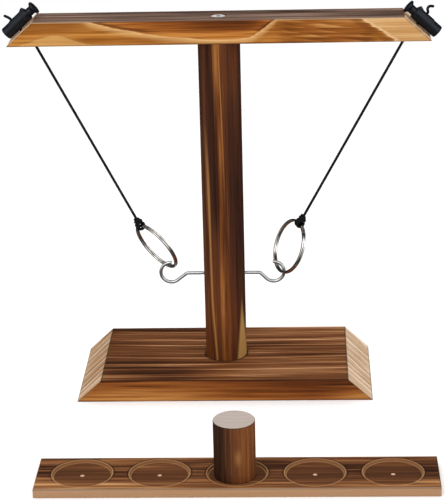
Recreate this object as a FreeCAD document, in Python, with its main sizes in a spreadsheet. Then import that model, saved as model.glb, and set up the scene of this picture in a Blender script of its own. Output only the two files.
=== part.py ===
import FreeCAD, Part
import math
import os
import Sketcher

# Two-player hook-and-ring game: a wooden stand with two screw hooks, two metal rings on
# cords that hang from spring locks on the cross bar, a loose board of round recesses and
# a round marker peg. Millimetres. +Z is up, +Y points away from the board. The origin is
# the centre of the stand's underside.

doc = FreeCAD.newDocument("HookAndRingSet")
sheet = doc.addObject("Spreadsheet::Sheet", "Sizes")

SIZES = (
    # stand
    ("base_length", 300.0), ("base_depth", 141.0), ("base_thick", 23.0), ("base_bevel", 25.0),
    ("post_dia", 42.0), ("post_height", 335.5),
    ("bar_length", 416.0), ("bar_depth", 42.0), ("bar_thick", 24.0), ("bar_bevel", 26.5),
    ("edge_round", 0.8),
    # two bolts, each into a threaded insert in the post
    ("bolt_dia", 6.0), ("bolt_clear", 0.3), ("head_dia", 14.5), ("head_thick", 2.4),
    ("head_recess", 0.6), ("head_clear", 0.5), ("socket_width", 4.0), ("socket_deep", 1.6),
    ("bolt_engaged", 11.0), ("insert_dia", 9.0), ("insert_length", 13.0), ("insert_rim", 12.0),
    ("insert_rim_thick", 1.2), ("wood_fit", 0.02),
    # screw hooks
    ("hook_height", 89.6), ("hook_wire", 3.4), ("hook_grip", 15.0), ("hook_bend", 3.5),
    ("hook_rise", 1.0), ("hook_radius", 10.7), ("hook_tip_turn", 4.0),
    ("left_hook_shank", 16.4), ("left_hook_reach", 33.8),
    ("right_hook_shank", 14.0), ("right_hook_reach", 29.5),
    # split rings
    ("ring_outer", 57.0), ("ring_band", 2.6), ("ring_width", 3.6), ("ring_gap", 0.35),
    # where each ring lies in its hook
    ("left_seat_turn", 104.0), ("left_seat_gap", 0.85), ("left_dip", 54.5), ("left_roll", 34.0),
    ("right_seat_turn", 22.0), ("right_seat_gap", 1.7), ("right_dip", 66.5), ("right_roll", -24.0),
    # cords and knots
    ("cord_dia", 2.8), ("cord_hole", 4.4), ("cord_gap", 0.3), ("loop_clear", 0.35),
    ("knot_dia", 6.8), ("knot_length", 6.8),
    # cord locks
    ("lock_dia", 13.0), ("lock_length", 31.0), ("lock_floor", 2.0), ("lock_gap", 1.0),
    ("lock_hole", 3.6), ("lug_rise", 1.8), ("lug_length", 7.0), ("lug_width", 4.5),
    # how far each lock's middle lies up the bevel from its cord
    ("left_lock_up", 1.5), ("right_lock_up", -5.0),
    ("plunger_dia", 8.8), ("plunger_clear", 0.25), ("plunger_out", 9.0), ("plunger_travel", 4.0),
    ("flange_proud", 0.3), ("flange_thick", 1.8), ("plunger_foot", 2.2),
    ("spring_wire", 0.7), ("spring_turns", 4.0),
    # board and peg
    ("board_length", 373.0), ("board_width", 65.0), ("board_thick", 9.0), ("board_front", 179.5),
    ("board_shift", 18.0), ("recess_dia", 56.0), ("recess_deep", 2.5), ("recess_pitch", 72.0),
    ("dimple_dia", 3.0), ("dimple_deep", 1.2), ("peg_dia", 39.0), ("peg_height", 57.0),
    ("peg_chamfer", 0.8), ("peg_aside", 2.0),
)
RECESSES = 5
# a cut this long goes right through any piece
RIGHT_THROUGH = 400
LEFT = -1
RIGHT = 1
SIDES = (("left", LEFT), ("right", RIGHT))


def fill_sheet():
    for row, (alias, value) in enumerate(SIZES, start=1):
        sheet.set("A%d" % row, alias)
        sheet.set("B%d" % row, str(value))
        sheet.setAlias("B%d" % row, alias)
    doc.recompute()


def size(alias):
    return float(getattr(sheet, alias))


def value_of(owner, expression):
    return float(owner.evalExpression(expression))


# ---------------------------------------------------------------- sketch helpers

def new_body(label):
    body = doc.addObject("PartDesign::Body", label)
    body.Label = label
    return body


def new_sketch(body, name, role, lift=None):
    """A sketch on one of the body's own origin planes, lifted along the plane's normal."""
    sketch = body.newObject("Sketcher::SketchObject", name)
    plane = [f for f in body.Origin.OriginFeatures if f.Role == role][0]
    sketch.AttachmentSupport = [(plane, "")]
    sketch.MapMode = "FlatFace"
    if lift is not None:
        sketch.setExpression("AttachmentOffset.Base.z", lift)
    doc.recompute()
    return sketch


def pin_point(sketch, geometry, vertex, across, upward):
    """Hold one point of a sketch at a place given by two expressions."""
    for kind, axis, expression in (("DistanceX", -2, across), ("DistanceY", -1, upward)):
        amount = value_of(sketch, expression)
        if abs(amount) < 1e-9:
            sketch.addConstraint(Sketcher.Constraint("PointOnObject", geometry, vertex, axis))
            continue
        index = sketch.addConstraint(
            Sketcher.Constraint(kind, -1, 1, geometry, vertex, amount)
        )
        sketch.setExpression("Constraints[%d]" % index, expression)


def draw_outline(sketch, corners):
    """A closed outline of straight lines; each corner is a pair of expressions."""
    points = [
        FreeCAD.Vector(value_of(sketch, across), value_of(sketch, upward), 0)
        for across, upward in corners
    ]
    first = sketch.GeometryCount
    count = len(points)
    for i in range(count):
        sketch.addGeometry(Part.LineSegment(points[i], points[(i + 1) % count]), False)
    for i in range(count):
        after = first + (i + 1) % count
        sketch.addConstraint(Sketcher.Constraint("Coincident", first + i, 2, after, 1))
    for i, (across, upward) in enumerate(corners):
        pin_point(sketch, first + i, 1, across, upward)


def draw_circle(sketch, across, upward, radius):
    centre = FreeCAD.Vector(value_of(sketch, across), value_of(sketch, upward), 0)
    circle = Part.Circle(centre, FreeCAD.Vector(0, 0, 1), value_of(sketch, radius))
    index = sketch.addGeometry(circle, False)
    pin_point(sketch, index, 3, across, upward)
    held = sketch.addConstraint(Sketcher.Constraint("Radius", index, circle.Radius))
    sketch.setExpression("Constraints[%d]" % held, radius)


def pad(body, sketch, length, midplane=False):
    feature = body.newObject("PartDesign::Pad", sketch.Name + "Pad")
    feature.Profile = sketch
    feature.Midplane = midplane
    feature.setExpression("Length", length)
    sketch.Visibility = False
    doc.recompute()
    return feature


def revolve(body, sketch, kind="PartDesign::Revolution"):
    feature = body.newObject(kind, sketch.Name + kind.split("::")[1])
    feature.Profile = sketch
    feature.ReferenceAxis = (sketch, ["V_Axis"])
    feature.Angle = 360
    doc.recompute()
    return feature


def cut_check(feature, before, what):
    """A cut that points away from the solid removes nothing and raises nothing."""
    if feature.Shape.Volume > before - 1e-3:
        raise RuntimeError(what + " removed no material")


def turned(body, name, corners):
    """Add the revolved solid of an outline in the body's XZ plane."""
    sketch = new_sketch(body, name, "XZ_Plane")
    draw_outline(sketch, corners)
    return revolve(body, sketch)


def bored(body, name, corners):
    """Cut the revolved solid of an outline in the body's XZ plane."""
    before = body.Shape.Volume
    sketch = new_sketch(body, name, "XZ_Plane")
    draw_outline(sketch, corners)
    feature = revolve(body, sketch, "PartDesign::Groove")
    cut_check(feature, before, name)
    return feature


def through_hole(body, name, role, across, upward, radius):
    """Cut a round hole right through the body, square to one of its origin planes."""
    before = body.Shape.Volume
    sketch = new_sketch(body, name, role)
    draw_circle(sketch, across, upward, radius)
    feature = body.newObject("PartDesign::Pocket", name + "Pocket")
    feature.Profile = sketch
    feature.Midplane = True
    feature.Type = "Length"
    feature.Length = RIGHT_THROUGH
    doc.recompute()
    cut_check(feature, before, name)
    return feature


def round_edges(body, base, radius, chosen=None):
    names = [
        "Edge%d" % (i + 1)
        for i, edge in enumerate(base.Shape.Edges)
        if chosen is None or chosen(edge)
    ]
    feature = body.newObject("PartDesign::Fillet", base.Name + "Round")
    feature.Base = (base, names)
    feature.setExpression("Radius", radius)
    doc.recompute()
    return feature


def place(body, x, y, z, rotation=None):
    body.Placement = FreeCAD.Placement(
        FreeCAD.Vector(x, y, z), rotation or FreeCAD.Rotation()
    )


# ---------------------------------------------------------------- places worked out once

def bar_underside():
    return size("base_thick") + size("post_height")


def bevel_frame():
    """Right end of the bar: the middle of its bevel, its outward normal and the way up it."""
    run = size("bar_bevel")
    rise = size("bar_thick")
    slope = math.hypot(run, rise)
    middle = FreeCAD.Vector(size("bar_length") / 2 - run / 2, 0, bar_underside() + rise / 2)
    normal = FreeCAD.Vector(rise / slope, 0, run / slope)
    upward = FreeCAD.Vector(-run / slope, 0, rise / slope)
    return middle, normal, upward


def cord_exit():
    """Where the right cord hole comes out of the bar's underside, on the hole's axis."""
    middle, normal, _ = bevel_frame()
    return middle - normal * (size("bar_thick") / 2 / normal.z)


def swing_point(side):
    """The point that a free cord swings about, just below the mouth of its hole."""
    _, normal, _ = bevel_frame()
    point = cord_exit() - normal * (size("cord_dia") / 2 + size("cord_gap"))
    return FreeCAD.Vector(side * point.x, 0, point.z)


def hook_centre(name, side):
    """Centre of the bowl of a screw hook."""
    return FreeCAD.Vector(
        side * (size("post_dia") / 2 + size(name + "_hook_reach")),
        0,
        size("base_thick") + size("hook_height") + size("hook_rise"),
    )


def ring_mean_radius():
    return size("ring_outer") / 2 - size("ring_band") / 2


def ring_frame(name, side):
    """Centre of a ring at rest, the way from its knot to its hook, and the way to its front."""
    seat = size("hook_radius") - size("hook_wire") / 2
    seat -= size("ring_band") / 2 + size(name + "_seat_gap")
    turn = math.radians(size(name + "_seat_turn"))
    dip = math.radians(size(name + "_dip"))
    roll = math.radians(size(name + "_roll"))
    low = hook_centre(name, side) + FreeCAD.Vector(
        side * seat * math.cos(turn), 0, seat * math.sin(turn)
    )
    down = FreeCAD.Vector(-side * math.cos(dip), 0, -math.sin(dip))
    inward = FreeCAD.Vector(-side * math.sin(dip), 0, math.cos(dip))
    front = FreeCAD.Vector(0, -math.cos(roll), 0) + inward * math.sin(roll)
    return low - down * ring_mean_radius(), down, front


def ring_top(name, side):
    """Middle of the ring's section that the knot's loop goes round."""
    centre, down, _ = ring_frame(name, side)
    return centre - down * ring_mean_radius()


def loop_radius():
    """The loop of cord clears the ring's section as the ring turns in it."""
    section = math.hypot(size("ring_band"), size("ring_width")) / 2
    return section + size("loop_clear") + size("cord_dia") / 2


def knot_offset():
    """From the ring's section to the middle of the knot's lump."""
    return loop_radius() - size("cord_dia") / 2 + size("knot_length") / 2


def turn_onto(direction, axis=FreeCAD.Vector(0, 0, 1)):
    return FreeCAD.Rotation(axis, direction)


def half_turn(side):
    """Parts are drawn for the right side; the left one is turned half round about +Z."""
    return FreeCAD.Rotation(FreeCAD.Vector(0, 0, 1), 0 if side == RIGHT else 180)


# ---------------------------------------------------------------- wooden pieces

def bevelled_board(label, length, thick, bevel, depth):
    """A board whose two ends are cut back towards the top, with all edges eased."""
    body = new_body(label)
    outline = new_sketch(body, label + "Outline", "XZ_Plane")
    draw_outline(
        outline,
        (
            ("-Sizes.%s / 2" % length, "0"),
            ("Sizes.%s / 2" % length, "0"),
            ("Sizes.%s / 2 - Sizes.%s" % (length, bevel), "Sizes.%s" % thick),
            ("Sizes.%s - Sizes.%s / 2" % (bevel, length), "Sizes.%s" % thick),
        ),
    )
    block = pad(body, outline, "Sizes.%s" % depth, midplane=True)
    round_edges(body, block, "Sizes.edge_round", lambda edge: not is_sharp_foot(edge))
    return body


def is_sharp_foot(edge):
    """The sharp lower edge at each bevelled end, which is left as the saw cut it."""
    box = edge.BoundBox
    return box.ZMax < 1e-6 and box.XLength < 1e-6


def bolt_passage(head_at, away):
    """Outline of the clearance hole and head recess of a bolt; away points into the wood."""
    deep = "(Sizes.head_thick + Sizes.head_recess)"
    wide = "(Sizes.head_dia / 2 + Sizes.head_clear)"
    narrow = "(Sizes.bolt_dia / 2 + Sizes.bolt_clear)"
    return (
        ("0", "%s - %s * 5" % (head_at, away)),
        (wide, "%s - %s * 5" % (head_at, away)),
        (wide, "%s + %s * %s" % (head_at, away, deep)),
        (narrow, "%s + %s * %s" % (head_at, away, deep)),
        (narrow, "%s + %s * 60" % (head_at, away)),
        ("0", "%s + %s * 60" % (head_at, away)),
    )


def make_base_board():
    body = bevelled_board("base_board", "base_length", "base_thick", "base_bevel", "base_depth")
    bored(body, "BaseBoltHole", bolt_passage("0", "1"))


def make_cross_bar():
    body = bevelled_board("cross_bar", "bar_length", "bar_thick", "bar_bevel", "bar_depth")
    bored(body, "BarBoltHole", bolt_passage("Sizes.bar_thick", "-1"))
    run = "Sizes.bar_bevel"
    rise = "Sizes.bar_thick"
    slope = "sqrt(%s ^ 2 + %s ^ 2)" % (run, rise)
    for name, sign in (("LeftCordHole", "-1"), ("RightCordHole", "1")):
        # a strip of the XZ plane, turned about the hole's axis, square to the bevel
        before = body.Shape.Volume
        sketch = new_sketch(body, name, "XZ_Plane")
        along = ("%s * %s / %s" % (sign, rise, slope), "%s / %s" % (run, slope))
        aside = ("%s * %s / %s" % (sign, run, slope), "-%s / %s" % (rise, slope))
        middle = ("%s * (Sizes.bar_length / 2 - %s / 2)" % (sign, run), "%s / 2" % rise)
        corners = []
        for reach, offset in ((-40, "0"), (-40, "1"), (20, "1"), (20, "0")):
            corners.append(
                tuple(
                    "%s + %d * %s + %s * Sizes.cord_hole / 2 * (%s)"
                    % (middle[i], reach, along[i], offset, aside[i])
                    for i in (0, 1)
                )
            )
        draw_outline(sketch, corners)
        groove = body.newObject("PartDesign::Groove", name + "Groove")
        groove.Profile = sketch
        groove.ReferenceAxis = (sketch, ["Edge4"])
        groove.Angle = 360
        doc.recompute()
        cut_check(groove, before, name)
    body.setExpression("Placement.Base.z", "Sizes.base_thick + Sizes.post_height")


def insert_socket(mouth, into):
    """Outline of the stepped hole in the post that one threaded insert is driven into."""
    rim = "(Sizes.insert_rim / 2 + Sizes.wood_fit)"
    barrel = "(Sizes.insert_dia / 2 + Sizes.wood_fit)"
    bolt = "(Sizes.bolt_dia / 2 + Sizes.bolt_clear)"
    step = "Sizes.insert_rim_thick"
    floor = "Sizes.insert_length"
    return (
        ("0", "%s - %s * 2" % (mouth, into)),
        (rim, "%s - %s * 2" % (mouth, into)),
        (rim, "%s + %s * %s" % (mouth, into, step)),
        (barrel, "%s + %s * %s" % (mouth, into, step)),
        (barrel, "%s + %s * %s" % (mouth, into, floor)),
        (bolt, "%s + %s * %s" % (mouth, into, floor)),
        (bolt, "%s + %s * (%s + 12)" % (mouth, into, floor)),
        ("0", "%s + %s * (%s + 12)" % (mouth, into, floor)),
    )


def make_post():
    body = new_body("post")
    section = new_sketch(body, "PostSection", "XY_Plane")
    draw_circle(section, "0", "0", "Sizes.post_dia / 2")
    pad(body, section, "Sizes.post_height")
    bored(body, "LowerInsertHole", insert_socket("0", "1"))
    bored(body, "UpperInsertHole", insert_socket("Sizes.post_height", "-1"))
    for name, sign in (("LeftPilotHole", "-1"), ("RightPilotHole", "1")):
        before = body.Shape.Volume
        sketch = new_sketch(body, name, "YZ_Plane", sign + " * Sizes.post_dia / 2")
        draw_circle(sketch, "0", "Sizes.hook_height", "Sizes.hook_wire / 2 + Sizes.wood_fit")
        pocket = body.newObject("PartDesign::Pocket", name + "Pocket")
        pocket.Profile = sketch
        pocket.Type = "Length"
        pocket.Reversed = sign == "-1"
        pocket.setExpression("Length", "Sizes.hook_grip")
        doc.recompute()
        cut_check(pocket, before, name)
    body.setExpression("Placement.Base.z", "Sizes.base_thick")


def make_shot_board():
    body = new_body("shot_board")
    outline = new_sketch(body, "BoardOutline", "XY_Plane")
    half = "Sizes.board_length / 2"
    wide = "Sizes.board_width / 2"
    draw_outline(
        outline,
        (("-" + half, "-" + wide), (half, "-" + wide), (half, wide), ("-" + half, wide)),
    )
    block = pad(body, outline, "Sizes.board_thick")
    round_edges(body, block, "Sizes.edge_round")
    before = body.Shape.Volume
    sketch = new_sketch(body, "Recess", "XZ_Plane")
    middle = "-Sizes.recess_pitch * %d" % (RECESSES // 2)
    top = "Sizes.board_thick"
    floor = "Sizes.board_thick - Sizes.recess_deep"
    draw_outline(
        sketch,
        (
            (middle, floor + " - Sizes.dimple_deep"),
            (middle + " + Sizes.dimple_dia / 2", floor),
            (middle + " + Sizes.recess_dia / 2", floor),
            (middle + " + Sizes.recess_dia / 2", top + " + 2"),
            (middle, top + " + 2"),
        ),
    )
    groove = body.newObject("PartDesign::Groove", "RecessGroove")
    groove.Profile = sketch
    groove.ReferenceAxis = (sketch, ["Edge5"])
    groove.Angle = 360
    doc.recompute()
    cut_check(groove, before, "Recess")
    row = body.newObject("PartDesign::LinearPattern", "RecessRow")
    row.Originals = [groove]
    row.Direction = (outline, ["H_Axis"])
    row.setExpression("Length", "Sizes.recess_pitch * %d" % (RECESSES - 1))
    row.Occurrences = RECESSES
    body.Tip = row
    doc.recompute()
    cut_check(row, groove.Shape.Volume, "RecessRow")
    body.setExpression("Placement.Base.x", "Sizes.board_shift")
    body.setExpression(
        "Placement.Base.y", "-Sizes.base_depth / 2 - Sizes.board_front"
    )


def make_marker_peg():
    edge = "Sizes.peg_chamfer"
    radius = "Sizes.peg_dia / 2"
    top = "Sizes.peg_height"
    body = new_body("marker_peg")
    turned(
        body,
        "PegOutline",
        (
            ("0", "0"),
            ("%s - %s" % (radius, edge), "0"),
            (radius, edge),
            (radius, "%s - %s" % (top, edge)),
            ("%s - %s" % (radius, edge), top),
            ("0", top),
        ),
    )
    body.setExpression("Placement.Base.x", "Sizes.board_shift - Sizes.peg_aside")
    body.setExpression(
        "Placement.Base.y", "-Sizes.base_depth / 2 - Sizes.board_front"
    )
    body.setExpression("Placement.Base.z", "Sizes.board_thick - Sizes.recess_deep")


# ---------------------------------------------------------------- bolts and inserts

def make_bolt(label, wood):
    """A flat-headed furniture bolt: head downward at the origin, shank along +Z."""
    head = "Sizes.head_dia / 2"
    shank = "Sizes.bolt_dia / 2"
    thick = "Sizes.head_thick"
    tip = "Sizes.%s - Sizes.head_recess + Sizes.bolt_engaged" % wood
    body = new_body(label)
    turned(
        body,
        label + "Outline",
        (
            ("0", "0"),
            (head + " - 1", "0"),
            (head, "0.7"),
            (head, thick),
            (shank, thick),
            (shank, tip + " - 1"),
            (shank + " - 1", tip),
            ("0", tip),
        ),
    )
    before = body.Shape.Volume
    sketch = new_sketch(body, label + "Socket", "XY_Plane")
    flat = "Sizes.socket_width / 2"
    draw_outline(
        sketch,
        tuple(
            ("%s / cos(30) * cos(%d)" % (flat, angle), "%s / cos(30) * sin(%d)" % (flat, angle))
            for angle in range(30, 390, 60)
        ),
    )
    pocket = body.newObject("PartDesign::Pocket", label + "SocketPocket")
    pocket.Profile = sketch
    pocket.Type = "Length"
    pocket.Reversed = True
    pocket.setExpression("Length", "Sizes.socket_deep")
    doc.recompute()
    cut_check(pocket, before, label + "Socket")
    return body


def make_insert(label):
    """A threaded insert: rim at the origin, barrel along +Z, bored for its bolt."""
    rim = "Sizes.insert_rim / 2"
    barrel = "Sizes.insert_dia / 2"
    bore = "Sizes.bolt_dia / 2 + Sizes.wood_fit"
    body = new_body(label)
    turned(
        body,
        label + "Outline",
        (
            (bore, "0"),
            (rim, "0"),
            (rim, "Sizes.insert_rim_thick"),
            (barrel, "Sizes.insert_rim_thick"),
            (barrel, "Sizes.insert_length"),
            (bore, "Sizes.insert_length"),
        ),
    )
    return body


def make_fasteners():
    over = FreeCAD.Rotation(FreeCAD.Vector(1, 0, 0), 180)
    foot = size("base_thick")
    top = bar_underside()
    recess = size("head_recess")
    place(make_bolt("bottom_bolt", "base_thick"), 0, 0, recess)
    place(make_insert("bottom_insert"), 0, 0, foot)
    place(make_bolt("top_bolt", "bar_thick"), 0, 0, top + size("bar_thick") - recess, over)
    place(make_insert("top_insert"), 0, 0, top, over)


# ---------------------------------------------------------------- hooks and rings

def hook_path(name):
    """Centre line of a hook in its own XZ plane, from the hidden end of its shank."""
    wire_end = size("hook_grip") + size(name + "_hook_shank")
    bend = FreeCAD.Vector(wire_end, -size("hook_bend"), 0)
    bowl = FreeCAD.Vector(size("hook_grip") + size(name + "_hook_reach"), size("hook_rise"), 0)
    gap = bowl - bend
    slant = math.atan2(gap.y, gap.x)
    slant -= math.asin((size("hook_bend") + size("hook_radius")) / gap.Length)
    across = FreeCAD.Vector(-math.sin(slant), math.cos(slant), 0)
    leg_top = bend + across * size("hook_bend")
    leg_foot = bowl - across * size("hook_radius")
    tip_angle = math.radians(90 + size("hook_tip_turn"))
    up = FreeCAD.Vector(0, 0, 1)
    return (
        Part.LineSegment(FreeCAD.Vector(0, 0, 0), FreeCAD.Vector(wire_end, 0, 0)),
        Part.ArcOfCircle(
            Part.Circle(bend, up, size("hook_bend")), slant + math.pi / 2, math.pi / 2
        ),
        Part.LineSegment(leg_top, leg_foot),
        Part.ArcOfCircle(
            Part.Circle(bowl, up, size("hook_radius")), slant - math.pi / 2, tip_angle
        ),
    )


def make_hook(name, side):
    label = name + "_hook"
    body = new_body(label)
    path = new_sketch(body, label + "Path", "XZ_Plane")
    shank, bend, leg, bowl = (path.addGeometry(piece, False) for piece in hook_path(name))
    rules = (
        Sketcher.Constraint("Coincident", shank, 1, -1, 1),
        Sketcher.Constraint("Horizontal", shank),
        Sketcher.Constraint("Tangent", shank, 2, bend, 2),
        Sketcher.Constraint("Tangent", bend, 1, leg, 1),
        Sketcher.Constraint("Tangent", leg, 2, bowl, 1),
    )
    for rule in rules:
        path.addConstraint(rule)
    sizes = (
        (("DistanceX", shank, 1, shank, 2), "Sizes.hook_grip + Sizes.%s_hook_shank" % name),
        (("Radius", bend), "Sizes.hook_bend"),
        (("Radius", bowl), "Sizes.hook_radius"),
        (("DistanceX", -1, 1, bowl, 3), "Sizes.hook_grip + Sizes.%s_hook_reach" % name),
        (("DistanceY", -1, 1, bowl, 3), "Sizes.hook_rise"),
        (("DistanceX", bowl, 2, bowl, 3), "Sizes.hook_radius * sin(Sizes.hook_tip_turn)"),
    )
    for terms, expression in sizes:
        index = path.addConstraint(Sketcher.Constraint(*terms, value_of(path, expression)))
        path.setExpression("Constraints[%d]" % index, expression)
    section = new_sketch(body, label + "Wire", "YZ_Plane")
    draw_circle(section, "0", "0", "Sizes.hook_wire / 2")
    pipe = body.newObject("PartDesign::AdditivePipe", label + "Pipe")
    pipe.Profile = section
    pipe.Spine = (path, ["Edge%d" % i for i in range(1, 5)])
    doc.recompute()
    start = side * (size("post_dia") / 2 - size("hook_grip"))
    place(body, start, 0, size("base_thick") + size("hook_height"), half_turn(side))


def make_ring(name, side):
    """A split ring: two turns of flat wire, parted by a groove inside and out."""
    inner = "Sizes.ring_outer / 2 - Sizes.ring_band"
    outer = "Sizes.ring_outer / 2"
    half = "Sizes.ring_width / 2"
    slit = "Sizes.ring_gap / 2"
    ease = "0.5"
    upper = [
        (inner + " + Sizes.ring_gap", "0"),
        (inner, slit),
        (inner, "%s - %s" % (half, ease)),
        ("%s + %s" % (inner, ease), half),
        ("%s - %s" % (outer, ease), half),
        (outer, "%s - %s" % (half, ease)),
        (outer, slit),
        (outer + " - Sizes.ring_gap", "0"),
    ]
    lower = [(across, "-(%s)" % upward) for across, upward in upper[1:-1]]
    body = new_body(name + "_ring")
    turned(body, name + "RingSection", upper + lower[::-1])
    centre, down, front = ring_frame(name, side)
    normal = down.cross(front)
    body.Placement = FreeCAD.Placement(
        centre, FreeCAD.Rotation(front, down.negative(), normal, "ZXY")
    )


# ---------------------------------------------------------------- cords and knots

def cord_run(name, side):
    """Start, end and direction of the taut run of cord between the bar and the knot."""
    start = swing_point(side)
    towards = ring_top(name, side) - start
    length = towards.Length - knot_offset() - size("knot_length") / 2
    direction = towards.normalize()
    return start, direction, length


def make_cord(name, side):
    """The taut run: a straight round cord with a round upper end, so that it can swing."""
    start, direction, length = cord_run(name, side)
    radius = size("cord_dia") / 2
    body = new_body(name + "_cord")
    sketch = new_sketch(body, name + "CordSection", "XZ_Plane")
    axis = FreeCAD.Vector(0, 0, 1)
    pole = FreeCAD.Vector(0, radius, 0)
    foot = FreeCAD.Vector(0, -length, 0)
    side_top = FreeCAD.Vector(radius, 0, 0)
    side_foot = FreeCAD.Vector(radius, -length, 0)
    cap = Part.ArcOfCircle(Part.Circle(FreeCAD.Vector(0, 0, 0), axis, radius), 0, math.pi / 2)
    sketch.addGeometry(cap, False)
    sketch.addGeometry(Part.LineSegment(pole, foot), False)
    sketch.addGeometry(Part.LineSegment(foot, side_foot), False)
    sketch.addGeometry(Part.LineSegment(side_foot, side_top), False)
    rules = (
        Sketcher.Constraint("Coincident", 0, 3, -1, 1),
        Sketcher.Constraint("Coincident", 0, 2, 1, 1),
        Sketcher.Constraint("Coincident", 1, 2, 2, 1),
        Sketcher.Constraint("Coincident", 2, 2, 3, 1),
        Sketcher.Constraint("Coincident", 3, 2, 0, 1),
        Sketcher.Constraint("PointOnObject", 0, 2, -2),
        Sketcher.Constraint("PointOnObject", 0, 1, -1),
        Sketcher.Constraint("Vertical", 1),
        Sketcher.Constraint("Horizontal", 2),
        Sketcher.Constraint("Vertical", 3),
        Sketcher.Constraint("DistanceY", 1, 2, 1, 1, length + radius),
    )
    for rule in rules:
        sketch.addConstraint(rule)
    held = sketch.addConstraint(Sketcher.Constraint("Radius", 0, radius))
    sketch.setExpression("Constraints[%d]" % held, "Sizes.cord_dia / 2")
    revolve(body, sketch)
    place(body, start.x, start.y, start.z, turn_onto(direction.negative()))


def make_knot(name, side):
    """A lump of knotted cord with a round loop below it, through which the ring passes."""
    _, direction, _ = cord_run(name, side)
    _, down, front = ring_frame(name, side)
    top = ring_top(name, side)
    half = size("knot_length") / 2
    wide = size("knot_dia") / 2
    cord = size("cord_dia") / 2
    loop = doc.addObject("Part::Torus", name + "KnotLoop")
    loop.Radius1 = loop_radius()
    loop.setExpression("Radius2", "Sizes.cord_dia / 2")
    loop.Placement = FreeCAD.Placement(top, turn_onto(front))
    lump = doc.addObject("Part::Feature", name + "KnotLump")
    outline = (
        (0, -half), (wide * 0.65, -half * 0.76), (wide, 0), (wide * 0.85, half * 0.65),
        (cord, half), (0, half),
    )
    corners = [FreeCAD.Vector(across, 0, upward) for across, upward in outline]
    face = Part.Face(Part.makePolygon(corners + corners[:1]))
    lump.Shape = face.revolve(FreeCAD.Vector(0, 0, 0), FreeCAD.Vector(0, 0, 1), 360)
    middle = top - direction * knot_offset()
    lump.Placement = FreeCAD.Placement(middle, turn_onto(direction.negative()))
    knot = doc.addObject("Part::Fuse", name + "_knot")
    knot.Label = name + "_knot"
    knot.Base = loop
    knot.Tool = lump
    doc.recompute()


# Each tail's route, in millimetres from the point where the cord leaves the lock: first
# along the lock's cross-hole, then across to the side. The start is inside the bar.
TAIL_ENDS = {
    "left": ((3.5, 0.0), (8.5, 2.5)),
    "right": ((2.0, 0.0), (4.2, -3.6), (8.3, -3.3), (10.0, 0.6)),
}


def tail_route(name, side):
    """Points of the cord from the mouth of its hole, through bar and lock, to its free end."""
    middle, normal, upward = bevel_frame()
    leave = middle + normal * (size("lock_gap") + size("lock_dia"))
    points = [cord_exit(), *(leave + normal * out - upward * low for out, low in TAIL_ENDS[name])]
    return [FreeCAD.Vector(side * point.x, 0, point.z) for point in points]


def rounded_path(points, label):
    """Straight runs joined by tangent arcs, each as large as its two runs allow."""
    edges = []
    start = points[0]
    for before, corner, after in zip(points, points[1:], points[2:]):
        into = corner - before
        out = after - corner
        shorter = min(into.Length, out.Length)
        half_angle = into.getAngle(out) / 2
        cut = 0.45 * shorter
        radius = cut / math.tan(half_angle)
        print("%s: bend of radius %.1f mm" % (label, radius))
        into.normalize()
        out.normalize()
        first = corner - into * cut
        last = corner + out * cut
        bisector = (out - into).normalize()
        centre = corner + bisector * (radius / math.cos(half_angle))
        halfway = centre - bisector * radius
        edges.append(Part.LineSegment(start, first).toShape())
        edges.append(Part.Arc(first, halfway, last).toShape())
        start = last
    edges.append(Part.LineSegment(start, points[-1]).toShape())
    return Part.Wire(edges)


def make_cord_tail(name, side):
    points = tail_route(name, side)
    path = rounded_path(points, name + "_cord_tail")
    radius = size("cord_dia") / 2
    disc = Part.Wire([Part.Circle(points[0], points[1] - points[0], radius).toShape()])
    tail = doc.addObject("Part::Feature", name + "_cord_tail")
    tail.Label = name + "_cord_tail"
    tail.Shape = path.makePipeShell([disc], True, False)
    expected = math.pi * radius ** 2 * path.Length
    if abs(tail.Shape.Volume / expected - 1) > 0.01:
        raise RuntimeError(name + "_cord_tail has the wrong volume")


# ---------------------------------------------------------------- cord locks

def make_lock_barrel(name):
    """The lock's body: +Z is the way its plunger comes out, the cord passes along X."""
    hole = "-Sizes.%s_lock_up" % name
    outer = "Sizes.lock_dia / 2"
    bore = "Sizes.plunger_dia / 2 + Sizes.plunger_clear"
    foot = "-Sizes.lock_length / 2"
    mouth = "Sizes.lock_length / 2"
    body = new_body(name + "_lock_barrel")
    turned(
        body,
        name + "BarrelOutline",
        (
            ("0", foot),
            (outer + " - 1.2", foot),
            (outer, foot + " + 1.2"),
            (outer, mouth + " - 0.6"),
            (outer + " - 0.6", mouth),
            (bore, mouth),
            (bore, foot + " + Sizes.lock_floor"),
            ("0", foot + " + Sizes.lock_floor"),
        ),
    )
    lug = new_sketch(body, name + "Lug", "XZ_Plane")
    inside = outer + " - 1"
    draw_outline(
        lug,
        (
            (inside, mouth + " - Sizes.lug_length"),
            (outer + " + Sizes.lug_rise", mouth + " - 2"),
            (outer + " + Sizes.lug_rise", mouth + " - 0.8"),
            (inside, mouth + " - 0.6"),
        ),
    )
    pad(body, lug, "Sizes.lug_width", midplane=True)
    through_hole(body, name + "CrossHole", "YZ_Plane", "0", hole, "Sizes.lock_hole / 2")
    return body


def plunger_foot(name):
    """Where the lower end of a plunger lies along its lock."""
    return "(-Sizes.%s_lock_up - Sizes.lock_hole / 2 - Sizes.plunger_foot)" % name


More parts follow.
